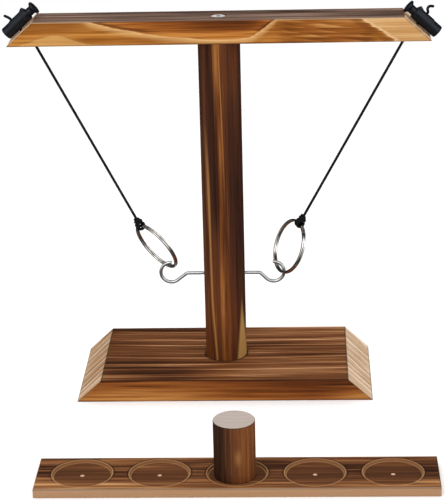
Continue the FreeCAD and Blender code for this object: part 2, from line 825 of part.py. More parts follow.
def make_lock_plunger(name):
    """The push button: a stem with a slot for the cord and a flared flange."""
    stem = "Sizes.plunger_dia / 2"
    flange = "(Sizes.lock_dia / 2 + Sizes.flange_proud)"
    mouth = "Sizes.lock_length / 2"
    end = mouth + " + Sizes.plunger_out"
    foot = plunger_foot(name)
    body = new_body(name + "_lock_plunger")
    turned(
        body,
        name + "PlungerOutline",
        (
            ("0", foot),
            (stem, foot),
            (stem, mouth + " + Sizes.plunger_travel + Sizes.plunger_clear"),
            (flange, end + " - Sizes.flange_thick"),
            (flange, end + " - 0.5"),
            (flange + " - 0.5", end),
            ("0", end),
        ),
    )
    before = body.Shape.Volume
    sketch = new_sketch(body, name + "Slot", "YZ_Plane")
    half = "Sizes.lock_hole / 2"
    low = "-Sizes.%s_lock_up - %s" % (name, half)
    high = "%s - Sizes.%s_lock_up + Sizes.plunger_travel" % (half, name)
    draw_outline(sketch, (("-" + half, low), (half, low), (half, high), ("-" + half, high)))
    pocket = body.newObject("PartDesign::Pocket", name + "SlotPocket")
    pocket.Profile = sketch
    pocket.Midplane = True
    pocket.Type = "Length"
    pocket.setExpression("Length", "Sizes.plunger_dia * 2")
    doc.recompute()
    cut_check(pocket, before, name + "Slot")
    return body


def make_lock_spring(name):
    """A compression spring between the barrel's floor and the plunger's foot."""
    wire = "Sizes.spring_wire / 2"
    low = "-Sizes.lock_length / 2 + Sizes.lock_floor"
    high = plunger_foot(name)
    body = new_body(name + "_lock_spring")
    sketch = new_sketch(body, name + "SpringWire", "XZ_Plane")
    draw_circle(
        sketch, "Sizes.plunger_dia / 2 - 2 * " + wire, "%s + %s" % (low, wire), wire
    )
    helix = body.newObject("PartDesign::AdditiveHelix", name + "SpringHelix")
    helix.Profile = sketch
    helix.ReferenceAxis = (sketch, ["V_Axis"])
    helix.Mode = "pitch-height-angle"
    height = "%s - (%s) - 2 * %s" % (high, low, wire)
    helix.setExpression("Pitch", "(%s) / Sizes.spring_turns" % height)
    helix.setExpression("Height", height)
    doc.recompute()
    return body


def make_lock(name, side):
    middle, normal, upward = bevel_frame()
    centre = middle + normal * (size("lock_dia") / 2 + size("lock_gap"))
    centre += upward * size(name + "_lock_up")
    lean = -math.degrees(math.atan2(size("bar_bevel"), size("bar_thick")))
    tilt = FreeCAD.Rotation(FreeCAD.Vector(0, 1, 0), lean)
    for make in (make_lock_barrel, make_lock_plunger, make_lock_spring):
        place(make(name), side * centre.x, 0, centre.z, half_turn(side).multiply(tilt))


# ---------------------------------------------------------------- build, check and write

def build():
    fill_sheet()
    make_base_board()
    make_post()
    make_cross_bar()
    make_shot_board()
    make_marker_peg()
    make_fasteners()
    for name, side in SIDES:
        make_hook(name, side)
        make_ring(name, side)
        make_cord(name, side)
        make_knot(name, side)
        make_cord_tail(name, side)
        make_lock(name, side)
    doc.recompute()


def sub_parts():
    """Bodies and other solids that stand for themselves, not as a tool of another."""
    found = []
    for item in doc.Objects:
        if item.isDerivedFrom("PartDesign::Body"):
            found.append(item)
        elif item.isDerivedFrom("Part::Feature") and not item.InList:
            found.append(item)
    return found


def check_and_write():
    for item in doc.Objects:
        if "Invalid" in item.State or "Error" in item.State:
            raise RuntimeError("%s failed: %s" % (item.Name, item.State))
    os.makedirs("parts", exist_ok=True)
    for item in sub_parts():
        shape = item.Shape
        if shape.isNull() or not shape.isValid() or len(shape.Solids) != 1:
            raise RuntimeError("%s is not one valid solid" % item.Label)
        shape.exportStep(os.path.join("parts", item.Label + ".step"))
    for name, side in SIDES:
        start, direction, length = cord_run(name, side)
        centre, down, front = ring_frame(name, side)
        print("%s cord: from %s along %s for %.2f mm" % (name, start, direction, length))
        print("%s ring: centre %s, top %s, front %s" % (name, centre, ring_top(name, side), front))


build()
check_and_write()
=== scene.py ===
import math

import bpy
import numpy as np
from mathutils import Matrix, Vector


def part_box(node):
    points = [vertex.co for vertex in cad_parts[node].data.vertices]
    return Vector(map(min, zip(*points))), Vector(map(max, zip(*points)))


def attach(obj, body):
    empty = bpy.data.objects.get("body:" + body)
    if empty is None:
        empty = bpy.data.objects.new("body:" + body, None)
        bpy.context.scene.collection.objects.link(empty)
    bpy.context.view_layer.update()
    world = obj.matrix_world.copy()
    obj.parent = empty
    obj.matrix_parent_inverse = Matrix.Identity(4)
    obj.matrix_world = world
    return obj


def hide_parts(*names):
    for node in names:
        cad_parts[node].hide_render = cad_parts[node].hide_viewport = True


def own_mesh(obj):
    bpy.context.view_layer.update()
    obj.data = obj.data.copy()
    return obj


# Looks of a two-player hook-and-ring game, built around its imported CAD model. Metres, in
# the model's frame: +X along the cross bar, +Y away from the loose board, +Z up.

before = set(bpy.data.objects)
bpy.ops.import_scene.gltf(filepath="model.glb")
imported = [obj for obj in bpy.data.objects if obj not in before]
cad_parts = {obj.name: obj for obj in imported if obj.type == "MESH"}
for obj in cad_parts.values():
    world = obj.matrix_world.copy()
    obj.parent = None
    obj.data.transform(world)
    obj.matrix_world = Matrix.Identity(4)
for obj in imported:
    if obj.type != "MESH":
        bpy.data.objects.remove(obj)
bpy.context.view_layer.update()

MM = 0.001
MM_PER_METRE = 1000.0
SIDES = {"left": -1, "right": 1}

# sizes that the CAD model doesn't state as a box, in metres
POST_RADIUS = 21 * MM
BASE_TOP = 23 * MM
HOOK_HEIGHT = 89.6 * MM
HOOK_WIRE = 1.7 * MM
HOOK_GRIP = 15 * MM
HOOK_BEND = 3.5 * MM
HOOK_RISE = 1.0 * MM
HOOK_RADIUS = 10.7 * MM
HOOK_TIP_TURN = math.radians(4)
RING_OUTER = 28.5 * MM
RING_BAND = 2.6 * MM
RING_WIDTH = 3.6 * MM
RING_EASE = 0.72 * MM
RING_REACH = 1.97 * MM
STRAND_CLEAR = 0.08 * MM
RING_GAP = 0.35 * MM
CORD_RADIUS = 1.4 * MM
CORD_GAP = 0.3 * MM
LOOP_CLEAR = 0.35 * MM
KNOT_LENGTH = 6.8 * MM
LOCK_RADIUS = 6.5 * MM
LOCK_LENGTH = 31 * MM
LOCK_GAP = 1.0 * MM
LOCK_FLOOR = 2 * MM
LOCK_HOLE = 1.8 * MM
PLUNGER_RADIUS = 4.4 * MM
PLUNGER_CLEAR = 0.25 * MM
PLUNGER_OUT = 9 * MM
PLUNGER_TRAVEL = 4 * MM
PLUNGER_FOOT = 2.2 * MM
FLANGE_RADIUS = 6.8 * MM
FLANGE_THICK = 1.8 * MM
FLUTES = 12
FLUTE_DEPTH = 0.12 * MM
SPRING_WIRE = 0.7 * MM
SPRING_TURNS = 4
LOCK_STEPS = 96
BAR_BEVEL = 26.5 * MM
BASE_BEVEL = 25 * MM
RECESS_PITCH = 72 * MM
RECESS_RADIUS = 28 * MM
BOLT_RADIUS = 3 * MM
HEAD_RADIUS = 7.25 * MM
HEAD_THICK = 2.4 * MM
SOCKET_FLAT = 2 * MM
SOCKET_DEEP = 1.6 * MM

# each hook: length of its shank outside the post, and how far out its bowl is
HOOKS = {"left": (16.4 * MM, 33.8 * MM), "right": (14.0 * MM, 29.5 * MM)}
# how each ring lies in its hook: turn round the bowl, gap to the wire, dip and roll
SEATS = {
    "left": (104.0, 0.85 * MM, 54.5, 34.0),
    "right": (22.0, 1.7 * MM, 66.5, -24.0),
}
# each tail's route past its lock: out along the cross-hole, then down the bevel
TAIL_ENDS = {
    "left": ((3.5 * MM, 0.0), (8.5 * MM, 2.5 * MM)),
    "right": ((2.0 * MM, 0.0), (4.2 * MM, -3.6 * MM), (8.3 * MM, -3.3 * MM),
              (10.0 * MM, 0.6 * MM)),
}
# how far each lock's middle lies up the bevel from its cord
LOCK_UP = {"left": 1.5 * MM, "right": -5.0 * MM}


# ---------------- mesh helpers

# an edge that turns by more than this many degrees stays sharp
SHARP = 40.0
SHARP_THREAD = 50.0
SHARP_BOLT = 30.0


def placed(name, data):
    """A new object in the scene that holds this data."""
    made = bpy.data.objects.new(name, data)
    bpy.context.scene.collection.objects.link(made)
    return made


def piece_from(name, vertices, faces, material, sharp=SHARP):
    """A shown object from vertices and faces, smooth but for edges sharper than an angle."""
    mesh = bpy.data.meshes.new(name)
    mesh.from_pydata([tuple(v) for v in vertices], [], faces)
    mesh.validate()
    mesh.update()
    smooth_shade(mesh, sharp)
    mesh.materials.append(material)
    return placed(name, mesh)


def smooth_shade(mesh, sharp):
    mesh.polygons.foreach_set("use_smooth", [True] * len(mesh.polygons))
    mesh.set_sharp_from_angle(angle=math.radians(sharp))


def seat(made, body, slot, *nodes):
    """Say what a finished piece moves with and which nodes it stands for; its finish is not used.
    """
    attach(made, body)
    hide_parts(*nodes)


def grid_faces(rows, columns, start=0):
    """Quads between rows of vertices that each go round once."""
    faces = []
    for row in range(rows - 1):
        for column in range(columns):
            across = (column + 1) % columns
            low = start + row * columns
            high = low + columns
            faces.append((low + column, low + across, high + across, high + column))
    return faces


def tube_faces(rows, columns):
    """Quads round a tube, and one face on each of its ends."""
    ends = [tuple(range(columns))[::-1], tuple(range((rows - 1) * columns, rows * columns))]
    return grid_faces(rows, columns) + ends


def angles(steps):
    return [math.tau * k / steps for k in range(steps)]


def polar(radius, angle):
    return radius * math.cos(angle), radius * math.sin(angle)


def swept(name, points, sideways, section, material, sharp=SHARP):
    """A tube along points. section(row, distance) gives (across, along side) pairs."""
    points = [Vector(p) for p in points]
    count = len(points)
    walked = 0.0
    side = Vector(sideways)
    vertices = []
    for i, point in enumerate(points):
        ahead = points[min(i + 1, count - 1)] - points[max(i - 1, 0)]
        ahead.normalize()
        side = (side - ahead * side.dot(ahead)).normalized()
        other = ahead.cross(side)
        if i:
            walked += (point - points[i - 1]).length
        outline = section(i, walked)
        vertices += [point + side * a + other * b for a, b in outline]
    return piece_from(name, vertices, tube_faces(count, len(outline)), material, sharp)


def turned(name, profile, steps, material, sharp=SHARP, shape=None):
    """A solid of revolution about Z from (radius, height) pairs, first and last on the axis.

    shape(radius, height, angle) says how far the surface stands out from its circle."""
    vertices = [(0, 0, profile[0][1])]
    for radius, height in profile[1:-1]:
        for angle in angles(steps):
            reach = radius + (shape(radius, height, angle) if shape else 0.0)
            vertices.append((*polar(reach, angle), height))
    vertices.append((0, 0, profile[-1][1]))
    rows = len(profile) - 2
    faces = grid_faces(rows, steps, start=1)
    last = len(vertices) - 1
    for k in range(steps):
        after = (k + 1) % steps
        faces.append((0, 1 + after, 1 + k))
        faces.append((last, last - steps + k, last - steps + after))
    return piece_from(name, vertices, faces, material, sharp)


def rounded_profile(corners, parts=4):
    """Corners are (across, up, rounding); each rounded corner becomes a short curve."""
    outline = []
    for i, (across, up, rounding) in enumerate(corners):
        here = Vector((across, up))
        if rounding == 0:
            outline.append(tuple(here))
            continue
        before = (Vector(corners[i - 1][:2]) - here).normalized() * rounding
        after = (Vector(corners[(i + 1) % len(corners)][:2]) - here).normalized() * rounding
        for k in range(parts + 1):
            t = k / parts
            bend = here + before * (1 - t) ** 2 + after * t ** 2
            outline.append(tuple(bend))
    return outline


def cut_hole(target, axis, outline, low, high, sharp=SHARP):
    """Cut a straight hole of this outline along X or Z out of the target's mesh."""
    points = []
    for end in (low, high):
        points += [(end, a, b) if axis == "X" else (a, b, end) for a, b in outline]
    faces = tube_faces(2, len(outline))
    cutter = piece_from("cutter", points, faces, target.data.materials[0])
    rule = target.modifiers.new("cut", "BOOLEAN")
    rule.object = cutter
    rule.operation = "DIFFERENCE"
    rule.solver = "EXACT"
    bpy.context.view_layer.update()
    shown = target.evaluated_get(bpy.context.evaluated_depsgraph_get())
    result = bpy.data.meshes.new_from_object(shown)
    target.modifiers.clear()
    target.data = result
    bpy.data.objects.remove(cutter)
    smooth_shade(result, sharp)


def circle(radius, steps):
    return [polar(radius, angle) for angle in angles(steps)]


def smooth_between(value, low, high):
    """0 below low, 1 above high and a smooth rise between."""
    t = min(1.0, max(0.0, (value - low) / (high - low)))
    return t * t * (3 - 2 * t)


def arc_points(centre, radius, start, end, steps):
    """Points of an arc in the XZ plane."""
    points = []
    for k in range(steps + 1):
        angle = start + (end - start) * k / steps
        points.append(centre + radius * Vector((math.cos(angle), 0, math.sin(angle))))
    return points


# ---------------- node helpers

SOCKETS = {"base_color": "Base Color", "roughness": "Roughness", "metallic": "Metallic",
           "specular": "Specular IOR Level", "glow": "Emission Color",
           "glow_strength": "Emission Strength"}


class Nodes:
    """Short calls that add nodes to one tree."""

    def __init__(self, tree):
        self.tree = tree

    def new(self, kind, **values):
        """A node of this kind, with its named inputs set or linked."""
        node = self.tree.nodes.new("ShaderNode" + kind)
        for name, value in values.items():
            self.link(value, node.inputs[name])
        return node

    def link(self, value, socket):
        if isinstance(value, bpy.types.NodeSocket):
            self.tree.links.new(value, socket)
        else:
            socket.default_value = value

    def math(self, operation, *values):
        node = self.new("Math")
        node.operation = operation
        for value, socket in zip(values, node.inputs):
            self.link(value, socket)
        return node.outputs[0]

    def add(self, first, *others):
        total = first
        for other in others:
            total = self.math("ADD", total, other)
        return total

    def minus(self, a, b):
        return self.math("SUBTRACT", a, b)

    def times(self, a, b):
        return self.math("MULTIPLY", a, b)

    def absolute(self, value):
        return self.math("ABSOLUTE", value)

    def length(self, a, b):
        """Length of a flat vector that has these two parts."""
        return self.math("SQRT", self.add(self.times(a, a), self.times(b, b)))

    def join(self, x, y, z):
        return self.new("CombineXYZ", X=x, Y=y, Z=z).outputs[0]

    def step(self, value, low, high):
        """Smoothly 0 to 1 as the value goes from low to high, which may be the smaller one."""
        node = self.new("MapRange", Value=value)
        node.interpolation_type = "SMOOTHSTEP"
        rising = low < high
        ends = (min(low, high), max(low, high), float(not rising), float(rising))
        for name, end in zip(("From Min", "From Max", "To Min", "To Max"), ends):
            node.inputs[name].default_value = end
        return node.outputs["Result"]

    def hump(self, value, centre, half_width):
        """1 at the centre, smoothly down to 0 at half_width from it."""
        off = self.absolute(self.minus(value, centre))
        return self.step(off, half_width, 0.0)

    def noise(self, place, scale, detail, roughness):
        node = self.new("TexNoise", Vector=place, Scale=scale, Detail=detail, Roughness=roughness)
        return node.outputs["Fac"]

    def ramp(self, value, *stops):
        """A tone for each value. A stop is (position, grey) or (position, red, green, blue)."""
        node = self.new("ValToRGB", Fac=value)
        marks = node.color_ramp.elements
        while len(marks) < len(stops):
            marks.new(0.5)
        for mark, (position, *tone) in zip(marks, stops):
            mark.position = position
            mark.color = (*(tone * 3)[:3], 1.0)
        return node.outputs["Color"]

    def mix(self, share, a, b):
        node = self.new("Mix")
        node.data_type = "RGBA"
        self.link(share, node.inputs[0])
        for value, socket in ((a, node.inputs[6]), (b, node.inputs[7])):
            self.link((*value, 1.0) if isinstance(value, tuple) else value, socket)
        return node.outputs[2]

    def paint(self, colour, *layers):
        """Lay (mask, weight, tone) layers over a colour, one after another."""
        for mask, weight, tone in layers:
            colour = self.mix(self.times(mask, weight), colour, tone)
        return colour

    def curve(self, value, points):
        """A smooth curve through given (in, out) points, both in 0 to 1."""
        node = self.new("FloatCurve", Value=value)
        line = node.mapping.curves[0]
        while len(line.points) < len(points):
            line.points.new(0.5, 0.5)
        for mark, (across, up) in zip(line.points, points):
            mark.location = (across, up)
        node.mapping.update()
        return node.outputs[0]


class Graph(Nodes):
    """One material. Places are in millimetres."""

    def __init__(self, name):
        self.material = bpy.data.materials.new(name)
        self.material.use_nodes = True
        super().__init__(self.material.node_tree)
        self.shader = self.tree.nodes["Principled BSDF"]
        scale = self.new("VectorMath", Vector=self.new("TexCoord").outputs["Object"])
        scale.operation = "MULTIPLY"
        scale.inputs[1].default_value = (MM_PER_METRE,) * 3
        self.place = scale.outputs[0]
        self.x, self.y, self.z = self.new("SeparateXYZ", Vector=self.place).outputs

    def gap(self, across, deep):
        """Distance from an upright line."""
        return self.length(self.minus(self.x, across), self.minus(self.y, deep))

    def bump(self, height, strength, distance):
        """Relief: height is in 0 to 1 and distance in metres."""
        node = self.new("Bump", Strength=strength, Distance=distance, Height=height)
        self.link(node.outputs["Normal"], self.shader.inputs["Normal"])

    def finish(self, **values):
        for name, value in values.items():
            self.link(value, self.shader.inputs[SOCKETS[name]])
        return self.material


# ---------------- wood

# Colour of charred wood; also laid on as painted shade round the post's foot and behind the shot
# board's recesses.
CHAR_AND_SHADE = (0.03, 0.012, 0.006)


def box_mm(node):
    """Lowest and highest corner of a node in millimetres, for its material."""
    return [corner * MM_PER_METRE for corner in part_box(node)]


class Wood(Graph):
    """Torched softwood: growth rings about a far heart, fibres, burnt bands, cut ends."""

    def __init__(self, name, grain, seed):
        super().__init__(name)
        along, across, up = (self.x, self.y, self.z) if grain == "X" else (self.z, self.x, self.y)
        self.across, self.up = across, up
        shifted = self.add(along, MM_PER_METRE * seed)
        fibre_place, streak_place, band_place = (
            self.join(self.times(shifted, share), across, up) for share in (0.018, 0.028, 0.16))
        self.fibres = self.spread(self.noise(fibre_place, 0.9, 3.0, 0.65))
        self.fine = self.noise(fibre_place, 2.6, 2.0, 0.6)
        self.streaks = self.spread(self.noise(streak_place, 0.24, 2.0, 0.5))
        self.bands = self.spread(self.noise(band_place, 0.04, 1.0, 0.5))
        self.wander = self.noise(band_place, 0.02, 2.0, 0.45)

    def spread(self, value):
        """Noise lies mostly near its middle; this stretches it over 0 to 1."""
        return self.step(value, 0.32, 0.68)

    def sway(self, reach):
        """A slow drift of up to about a third of reach, either way."""
        return self.times(self.minus(self.wander, 0.5), reach)

    def years(self, heart_across, heart_up, spacing, reach):
        """Growth-ring phase, 0 to 1 across each year, about a line along the grain."""
        sideways = self.sway(reach)
        far = self.add(self.across, sideways, -heart_across)
        high = self.add(self.up, sideways, -heart_up)
        gap = self.length(far, high)
        uneven = self.noise(self.join(self.times(gap, 0.11), 3.0, 7.0), 1.0, 1.0, 0.5)
        return self.math("FRACT", self.add(self.times(gap, 1.0 / spacing), self.times(uneven, 1.4)))

    def tone(self, start, *terms):
        """A start value plus the sum of (value, weight) pairs."""
        total = start
        for value, weight in terms:
            total = self.math("MULTIPLY_ADD", value, weight, total)
        return total

    def near(self, *pairs):
        """1 where each value is at its target, falling to 0 at its reach: a worn or burnt edge, and
        at the post's foot also a painted contact shadow.
        """
        share = 1.0
        for value, target, reach in pairs:
            share = self.times(self.hump(value, target, reach), share)
        return share

    def finish_wood(self, colour, relief):
        roughness = self.ramp(self.fibres, (0.2, 0.42), (0.8, 0.66))
        height = self.add(self.times(self.fibres, 0.3), self.times(self.fine, 0.3), relief)
        self.bump(height, 0.3, 0.5 * MM)
        return self.finish(base_color=colour, roughness=roughness, specular=0.06)


def past_end(wood, node, run):
    """How far a point is past a board's bevelled ends: 0 on the bevel, negative inside."""
    low, high = box_mm(node)
    rise = wood.times(wood.minus(wood.z, low.z), run / (high.z - low.z))
    return wood.add(
        wood.absolute(wood.minus(wood.x, (low.x + high.x) / 2)), rise, -(high.x - low.x) / 2)


def bevel_mask(wood, past):
    """1 on the bevelled ends, which were cut after the board was torched."""
    return wood.step(past, -0.55, -0.25)


def base_wood():
    wood = Wood("base_wood", "X", 1.0)
    low, high = box_mm("base_board")
    ring = wood.years(420.0, -60.0, 15.5, 30.0)
    line = wood.ramp(
        ring, (0.0, 0.12), (0.25, 0.42), (0.5, 0.1), (0.74, 0.4), (0.86, 1.0), (0.9, 0.95),
        (0.95, 0.25), (1.0, 0.0))
    burn = wood.times(wood.hump(wood.x, -70.0, 90.0), wood.step(wood.y, -22.0, -62.0))
    right = wood.step(wood.x, -10.0, 60.0)
    tone = wood.tone(
        -0.19, (line, 0.58), (wood.streaks, 0.32), (wood.bands, 0.24), (wood.fibres, 0.22),
        (burn, -0.34), (right, 0.07))
    colour = wood.ramp(
        tone, (0.0, *CHAR_AND_SHADE), (0.22, 0.08, 0.025, 0.008), (0.5, 0.19, 0.068, 0.022),
        (0.78, 0.37, 0.165, 0.066), (1.0, 0.6, 0.34, 0.17))
    front = wood.step(wood.y, low.y + 0.7, low.y + 0.2)
    # Painted light: the front face is painted lighter towards its left end.
    lit = wood.step(wood.x, 150.0, -150.0)
    right_end = wood.step(wood.x, 85.0, 140.0)
    glow = wood.tone(
        0.0, (lit, 0.55), (right_end, 0.4), (wood.step(wood.z, 20.0, 5.0), 0.42),
        (wood.streaks, 0.44), (wood.fibres, 0.16))
    glow = wood.minus(glow, 0.47)
    golden = wood.ramp(
        glow, (0.0, 0.105, 0.027, 0.006), (0.28, 0.185, 0.05, 0.009), (0.62, 0.31, 0.105, 0.022),
        (1.0, 0.52, 0.235, 0.062))
    mark = wood.times(wood.step(wood.streaks, 0.3, 0.06), wood.step(wood.z, 10.0, 15.0))
    golden = wood.paint(golden, (mark, 0.7, CHAR_AND_SHADE))
    colour = wood.mix(front, colour, golden)
    past = past_end(wood, "base_board", BASE_BEVEL / MM)
    side = wood.step(wood.x, -10.0, 10.0)
    sawn = wood.tone(-0.22, (line, 0.9), (wood.fibres, 0.3), (wood.bands, 0.16), (side, 0.24))
    cut = wood.ramp(
        sawn, (0.05, 0.26, 0.13, 0.058), (0.4, 0.54, 0.34, 0.195), (0.9, 0.82, 0.66, 0.5))
    colour = wood.mix(bevel_mask(wood, past), colour, cut)
    inner = high.x - BASE_BEVEL / MM
    # Dark burnt edges. The first, a ring round the post's foot, is burnt wood at the hole's edge
    # and a painted contact shadow.
    for edge in (
        ((wood.gap(0.0, 0.0), POST_RADIUS / MM + 0.6, 2.6), (wood.z, high.z, 0.5)),
        ((wood.y, low.y, 1.5), (wood.z, high.z, 1.5)),
        ((wood.y, low.y, 1.2), (wood.z, low.z, 1.4)),
        ((wood.z, high.z, 1.5), (wood.absolute(wood.x), inner, 1.5)),
        ((wood.y, low.y, 1.4), (past, 0.0, 1.3)),
        ((wood.z, low.z, 1.0), (past, 0.0, 1.5)),
    ):
        colour = wood.paint(colour, (wood.near(*edge), 0.85, CHAR_AND_SHADE))
    return wood.finish_wood(colour, wood.times(line, 0.4))


def bar_front(wood, low, high):
    """The bar's long faces: dark lens-shaped heartwood in golden sapwood, with contour lines."""
    share = wood.math("MULTIPLY_ADD", wood.x, 1.0 / (high.x - low.x), 0.5)
    up = wood.minus(wood.z, low.z)
    wobble = wood.tone(-1.3, (wood.streaks, 1.2), (wood.fibres, 0.8), (wood.fine, 0.8))
    lens = wood.curve(
        share, ((0.0, 1.0), (0.16, 1.0), (0.2, 0.8), (0.257, 0.585), (0.31, 0.44), (0.4, 0.27),
        (0.5, 0.17), (0.56, 0.2), (0.594, 0.38), (0.632, 0.76), (0.66, 1.0), (1.0, 1.0)))
    over = wood.tone(wobble, (up, 1.0), (lens, -30.0))
    under = wood.times(over, -1.0)
    gold = wood.ramp(
        wood.tone(0.0, (wood.streaks, 0.5), (wood.fibres, 0.3), (wood.bands, 0.3)),
        (0.15, 0.17, 0.048, 0.006), (0.5, 0.33, 0.112, 0.016), (0.95, 0.52, 0.225, 0.046))
    shade = wood.times(wood.step(up, 10.0, 21.0), wood.step(wood.x, -112.0, -150.0))
    shade = wood.times(shade, wood.tone(0.25, (wood.streaks, 0.5)))
    gold = wood.mix(shade, gold, (0.2, 0.06, 0.009))
    glow = wood.times(wood.step(under, 8.0, 0.5), wood.step(under, 0.0, 0.4))
    gold = wood.paint(gold, (glow, 0.75, (0.66, 0.37, 0.14)))
    # a low pale dome near the left end, and waves between the lens and the right end
    dome = wood.tone(wobble, (wood.hump(wood.x, -160.0, 46.0), 11.0), (up, -1.0))
    gold = wood.paint(
        gold,
        (wood.step(dome, -1.5, 2.0), 0.55, (0.64, 0.36, 0.12)),
        (wood.hump(dome, 0.0, 1.6), 0.3, (0.22, 0.08, 0.018)))
    slope = wood.times(wood.minus(wood.x, 57.0), 0.13)
    field = wood.tone(wood.add(up, slope), (wobble, 1.6), (wood.sway(44.0), 1.0))
    wave = wood.math("FRACT", wood.times(field, 1.0 / 8.5))
    crest = wood.ramp(wave, (0.0, 0.0), (0.5, 0.35), (0.85, 0.65), (1.0, 0.0))
    crest = wood.tone(-0.4, (crest, 0.6), (wood.streaks, 0.7), (wood.bands, 0.3))
    middle = wood.times(wood.step(wood.x, 50.0, 70.0), wood.step(wood.x, 158.0, 146.0))
    waves = wood.ramp(
        crest, (0.0, 0.125, 0.032, 0.005), (0.5, 0.28, 0.085, 0.013), (1.0, 0.6, 0.31, 0.105))
    gold = wood.paint(gold, (middle, 0.85, waves))
    # the pale right end, past a line that leans down to the right
    lean = wood.times(wood.minus(high.z - low.z, up), 1.45)
    past = wood.tone(wood.add(wood.x, wood.times(lean, -1.0)), (wobble, 2.2))
    pale = wood.ramp(
        wood.tone(0.0, (wood.streaks, 0.6), (wood.fibres, 0.4)), (0.1, 0.47, 0.235, 0.075),
        (0.9, 0.7, 0.43, 0.2))
    gold = wood.mix(wood.step(past, 139.0, 141.0), gold, pale)
    gold = wood.paint(
        gold,
        (wood.hump(past, 141.0, 3.5), 0.8, (0.74, 0.5, 0.26)),
        (wood.hump(past, 132.0, 9.0), 0.55, (0.15, 0.045, 0.008)))
    heart = wood.ramp(
        wood.tone(-0.14, (wood.streaks, 0.64), (wood.fibres, 0.3),
        (wood.step(over, 18.0, 2.0), 0.44)), (0.0, 0.075, 0.02, 0.004),
        (0.35, 0.18, 0.048, 0.007), (0.7, 0.34, 0.105, 0.017), (1.0, 0.52, 0.205, 0.04))
    tip = wood.times(wood.hump(over, 1.8, 2.6), wood.step(up, 8.0, 18.0))
    heart = wood.paint(heart, (tip, 0.7, (0.06, 0.016, 0.004)))
    colour = wood.mix(wood.step(over, -0.2, 0.4), gold, heart)
    line = wood.times(wood.near((over, -0.5, 1.1)), wood.tone(0.35, (wood.streaks, 0.5)))
    return wood.mix(line, colour, (0.72, 0.43, 0.18)), over


def bar_wood():
    wood = Wood("bar_wood", "X", 2.0)
    low, high = box_mm("cross_bar")
    colour, over = bar_front(wood, low, high)
    tone = wood.tone(0.0, (wood.streaks, 0.55), (wood.fibres, 0.25), (wood.bands, 0.25))
    # The top face is painted a grey tone that follows the grain: a painted sheen of light at a
    # grazing angle.
    grey = wood.ramp(
        tone, (0.05, 0.036, 0.019, 0.013), (0.35, 0.09, 0.052, 0.038), (0.65, 0.17, 0.104, 0.076),
        (1.0, 0.33, 0.215, 0.16))
    colour = wood.mix(wood.step(wood.z, high.z - 0.9, high.z - 0.3), colour, grey)
    past = past_end(wood, "cross_bar", BAR_BEVEL / MM)
    cut = wood.ramp(tone, (0.1, 0.34, 0.17, 0.08), (0.7, 0.74, 0.52, 0.34))
    colour = wood.mix(bevel_mask(wood, past), colour, cut)
    inner = high.x - BAR_BEVEL / MM
    for edge in (
        ((wood.y, low.y, 1.5), (wood.z, low.z, 1.8)),
        ((wood.y, low.y, 1.5), (past, 0.0, 1.5)),
        ((wood.z, high.z, 1.5), (wood.absolute(wood.x), inner, 1.5)),
    ):
        colour = wood.paint(colour, (wood.near(*edge), 0.75, (0.085, 0.03, 0.01)))
    pale_edge = wood.near((wood.y, low.y, 1.3), (wood.z, high.z, 1.3))
    pale_edge = wood.times(pale_edge, wood.step(over, 1.0, -1.0))
    colour = wood.paint(colour, (pale_edge, 0.6, (0.66, 0.44, 0.24)))
    return wood.finish_wood(colour, wood.times(wood.streaks, 0.3))


def post_wood():
    wood = Wood("post_wood", "Z", 3.0)
    low, _ = box_mm("post")
    height = wood.minus(wood.z, low.z)
    drift = wood.sway(12.0)
    x = wood.add(wood.x, drift)
    foot = wood.step(height, 190.0, 0.0)
    right = wood.step(x, 5.0, 9.0)
    burn = wood.times(wood.hump(x, -7.0, 9.0), wood.step(height, 100.0, 220.0))
    tone = wood.tone(
        0.02, (wood.streaks, 0.22), (wood.fibres, 0.22), (wood.bands, 0.16), (foot, 0.22),
        (right, -0.12), (burn, -0.26), (wood.times(right, wood.step(height, 220.0, 300.0)), 0.16))
    colour = wood.ramp(
        tone, (0.0, 0.026, 0.009, 0.005), (0.3, 0.062, 0.02, 0.009), (0.6, 0.13, 0.037, 0.011),
        (0.85, 0.26, 0.085, 0.019), (1.0, 0.42, 0.17, 0.044))
    flame = wood.tone(0.0, (wood.streaks, 0.4), (wood.fibres, 0.35), (wood.bands, 0.25))
    flame = wood.ramp(
        flame, (0.15, 0.085, 0.023, 0.006), (0.5, 0.185, 0.058, 0.014), (0.9, 0.38, 0.15, 0.036))
    middle = wood.tone(x, (height, 0.012))
    left = wood.tone(x, (height, 0.025))
    thread = wood.times(wood.hump(middle, 5.2, 1.0), wood.step(height, 150.0, 260.0))
    streak = wood.times(wood.hump(left, -8.0, 1.9), wood.step(height, 272.0, 170.0))
    spear = wood.tone(wood.absolute(wood.add(wood.x, -17.5)), (height, 0.085))
    pale = wood.times(wood.step(spear, 6.4, 3.6), wood.step(wood.y, 3.0, 0.0))
    colour = wood.paint(
        colour,
        (wood.hump(middle, 3.0, 7.0), 0.9, flame),
        (thread, 0.8, (0.4, 0.155, 0.045)),
        (streak, 0.85, (0.4, 0.185, 0.052)),
        (wood.hump(left, -11.4, 1.6), 0.6, CHAR_AND_SHADE),
        (pale, 0.9, (0.5, 0.28, 0.088)))
    return wood.finish_wood(colour, wood.times(wood.streaks, 0.3))


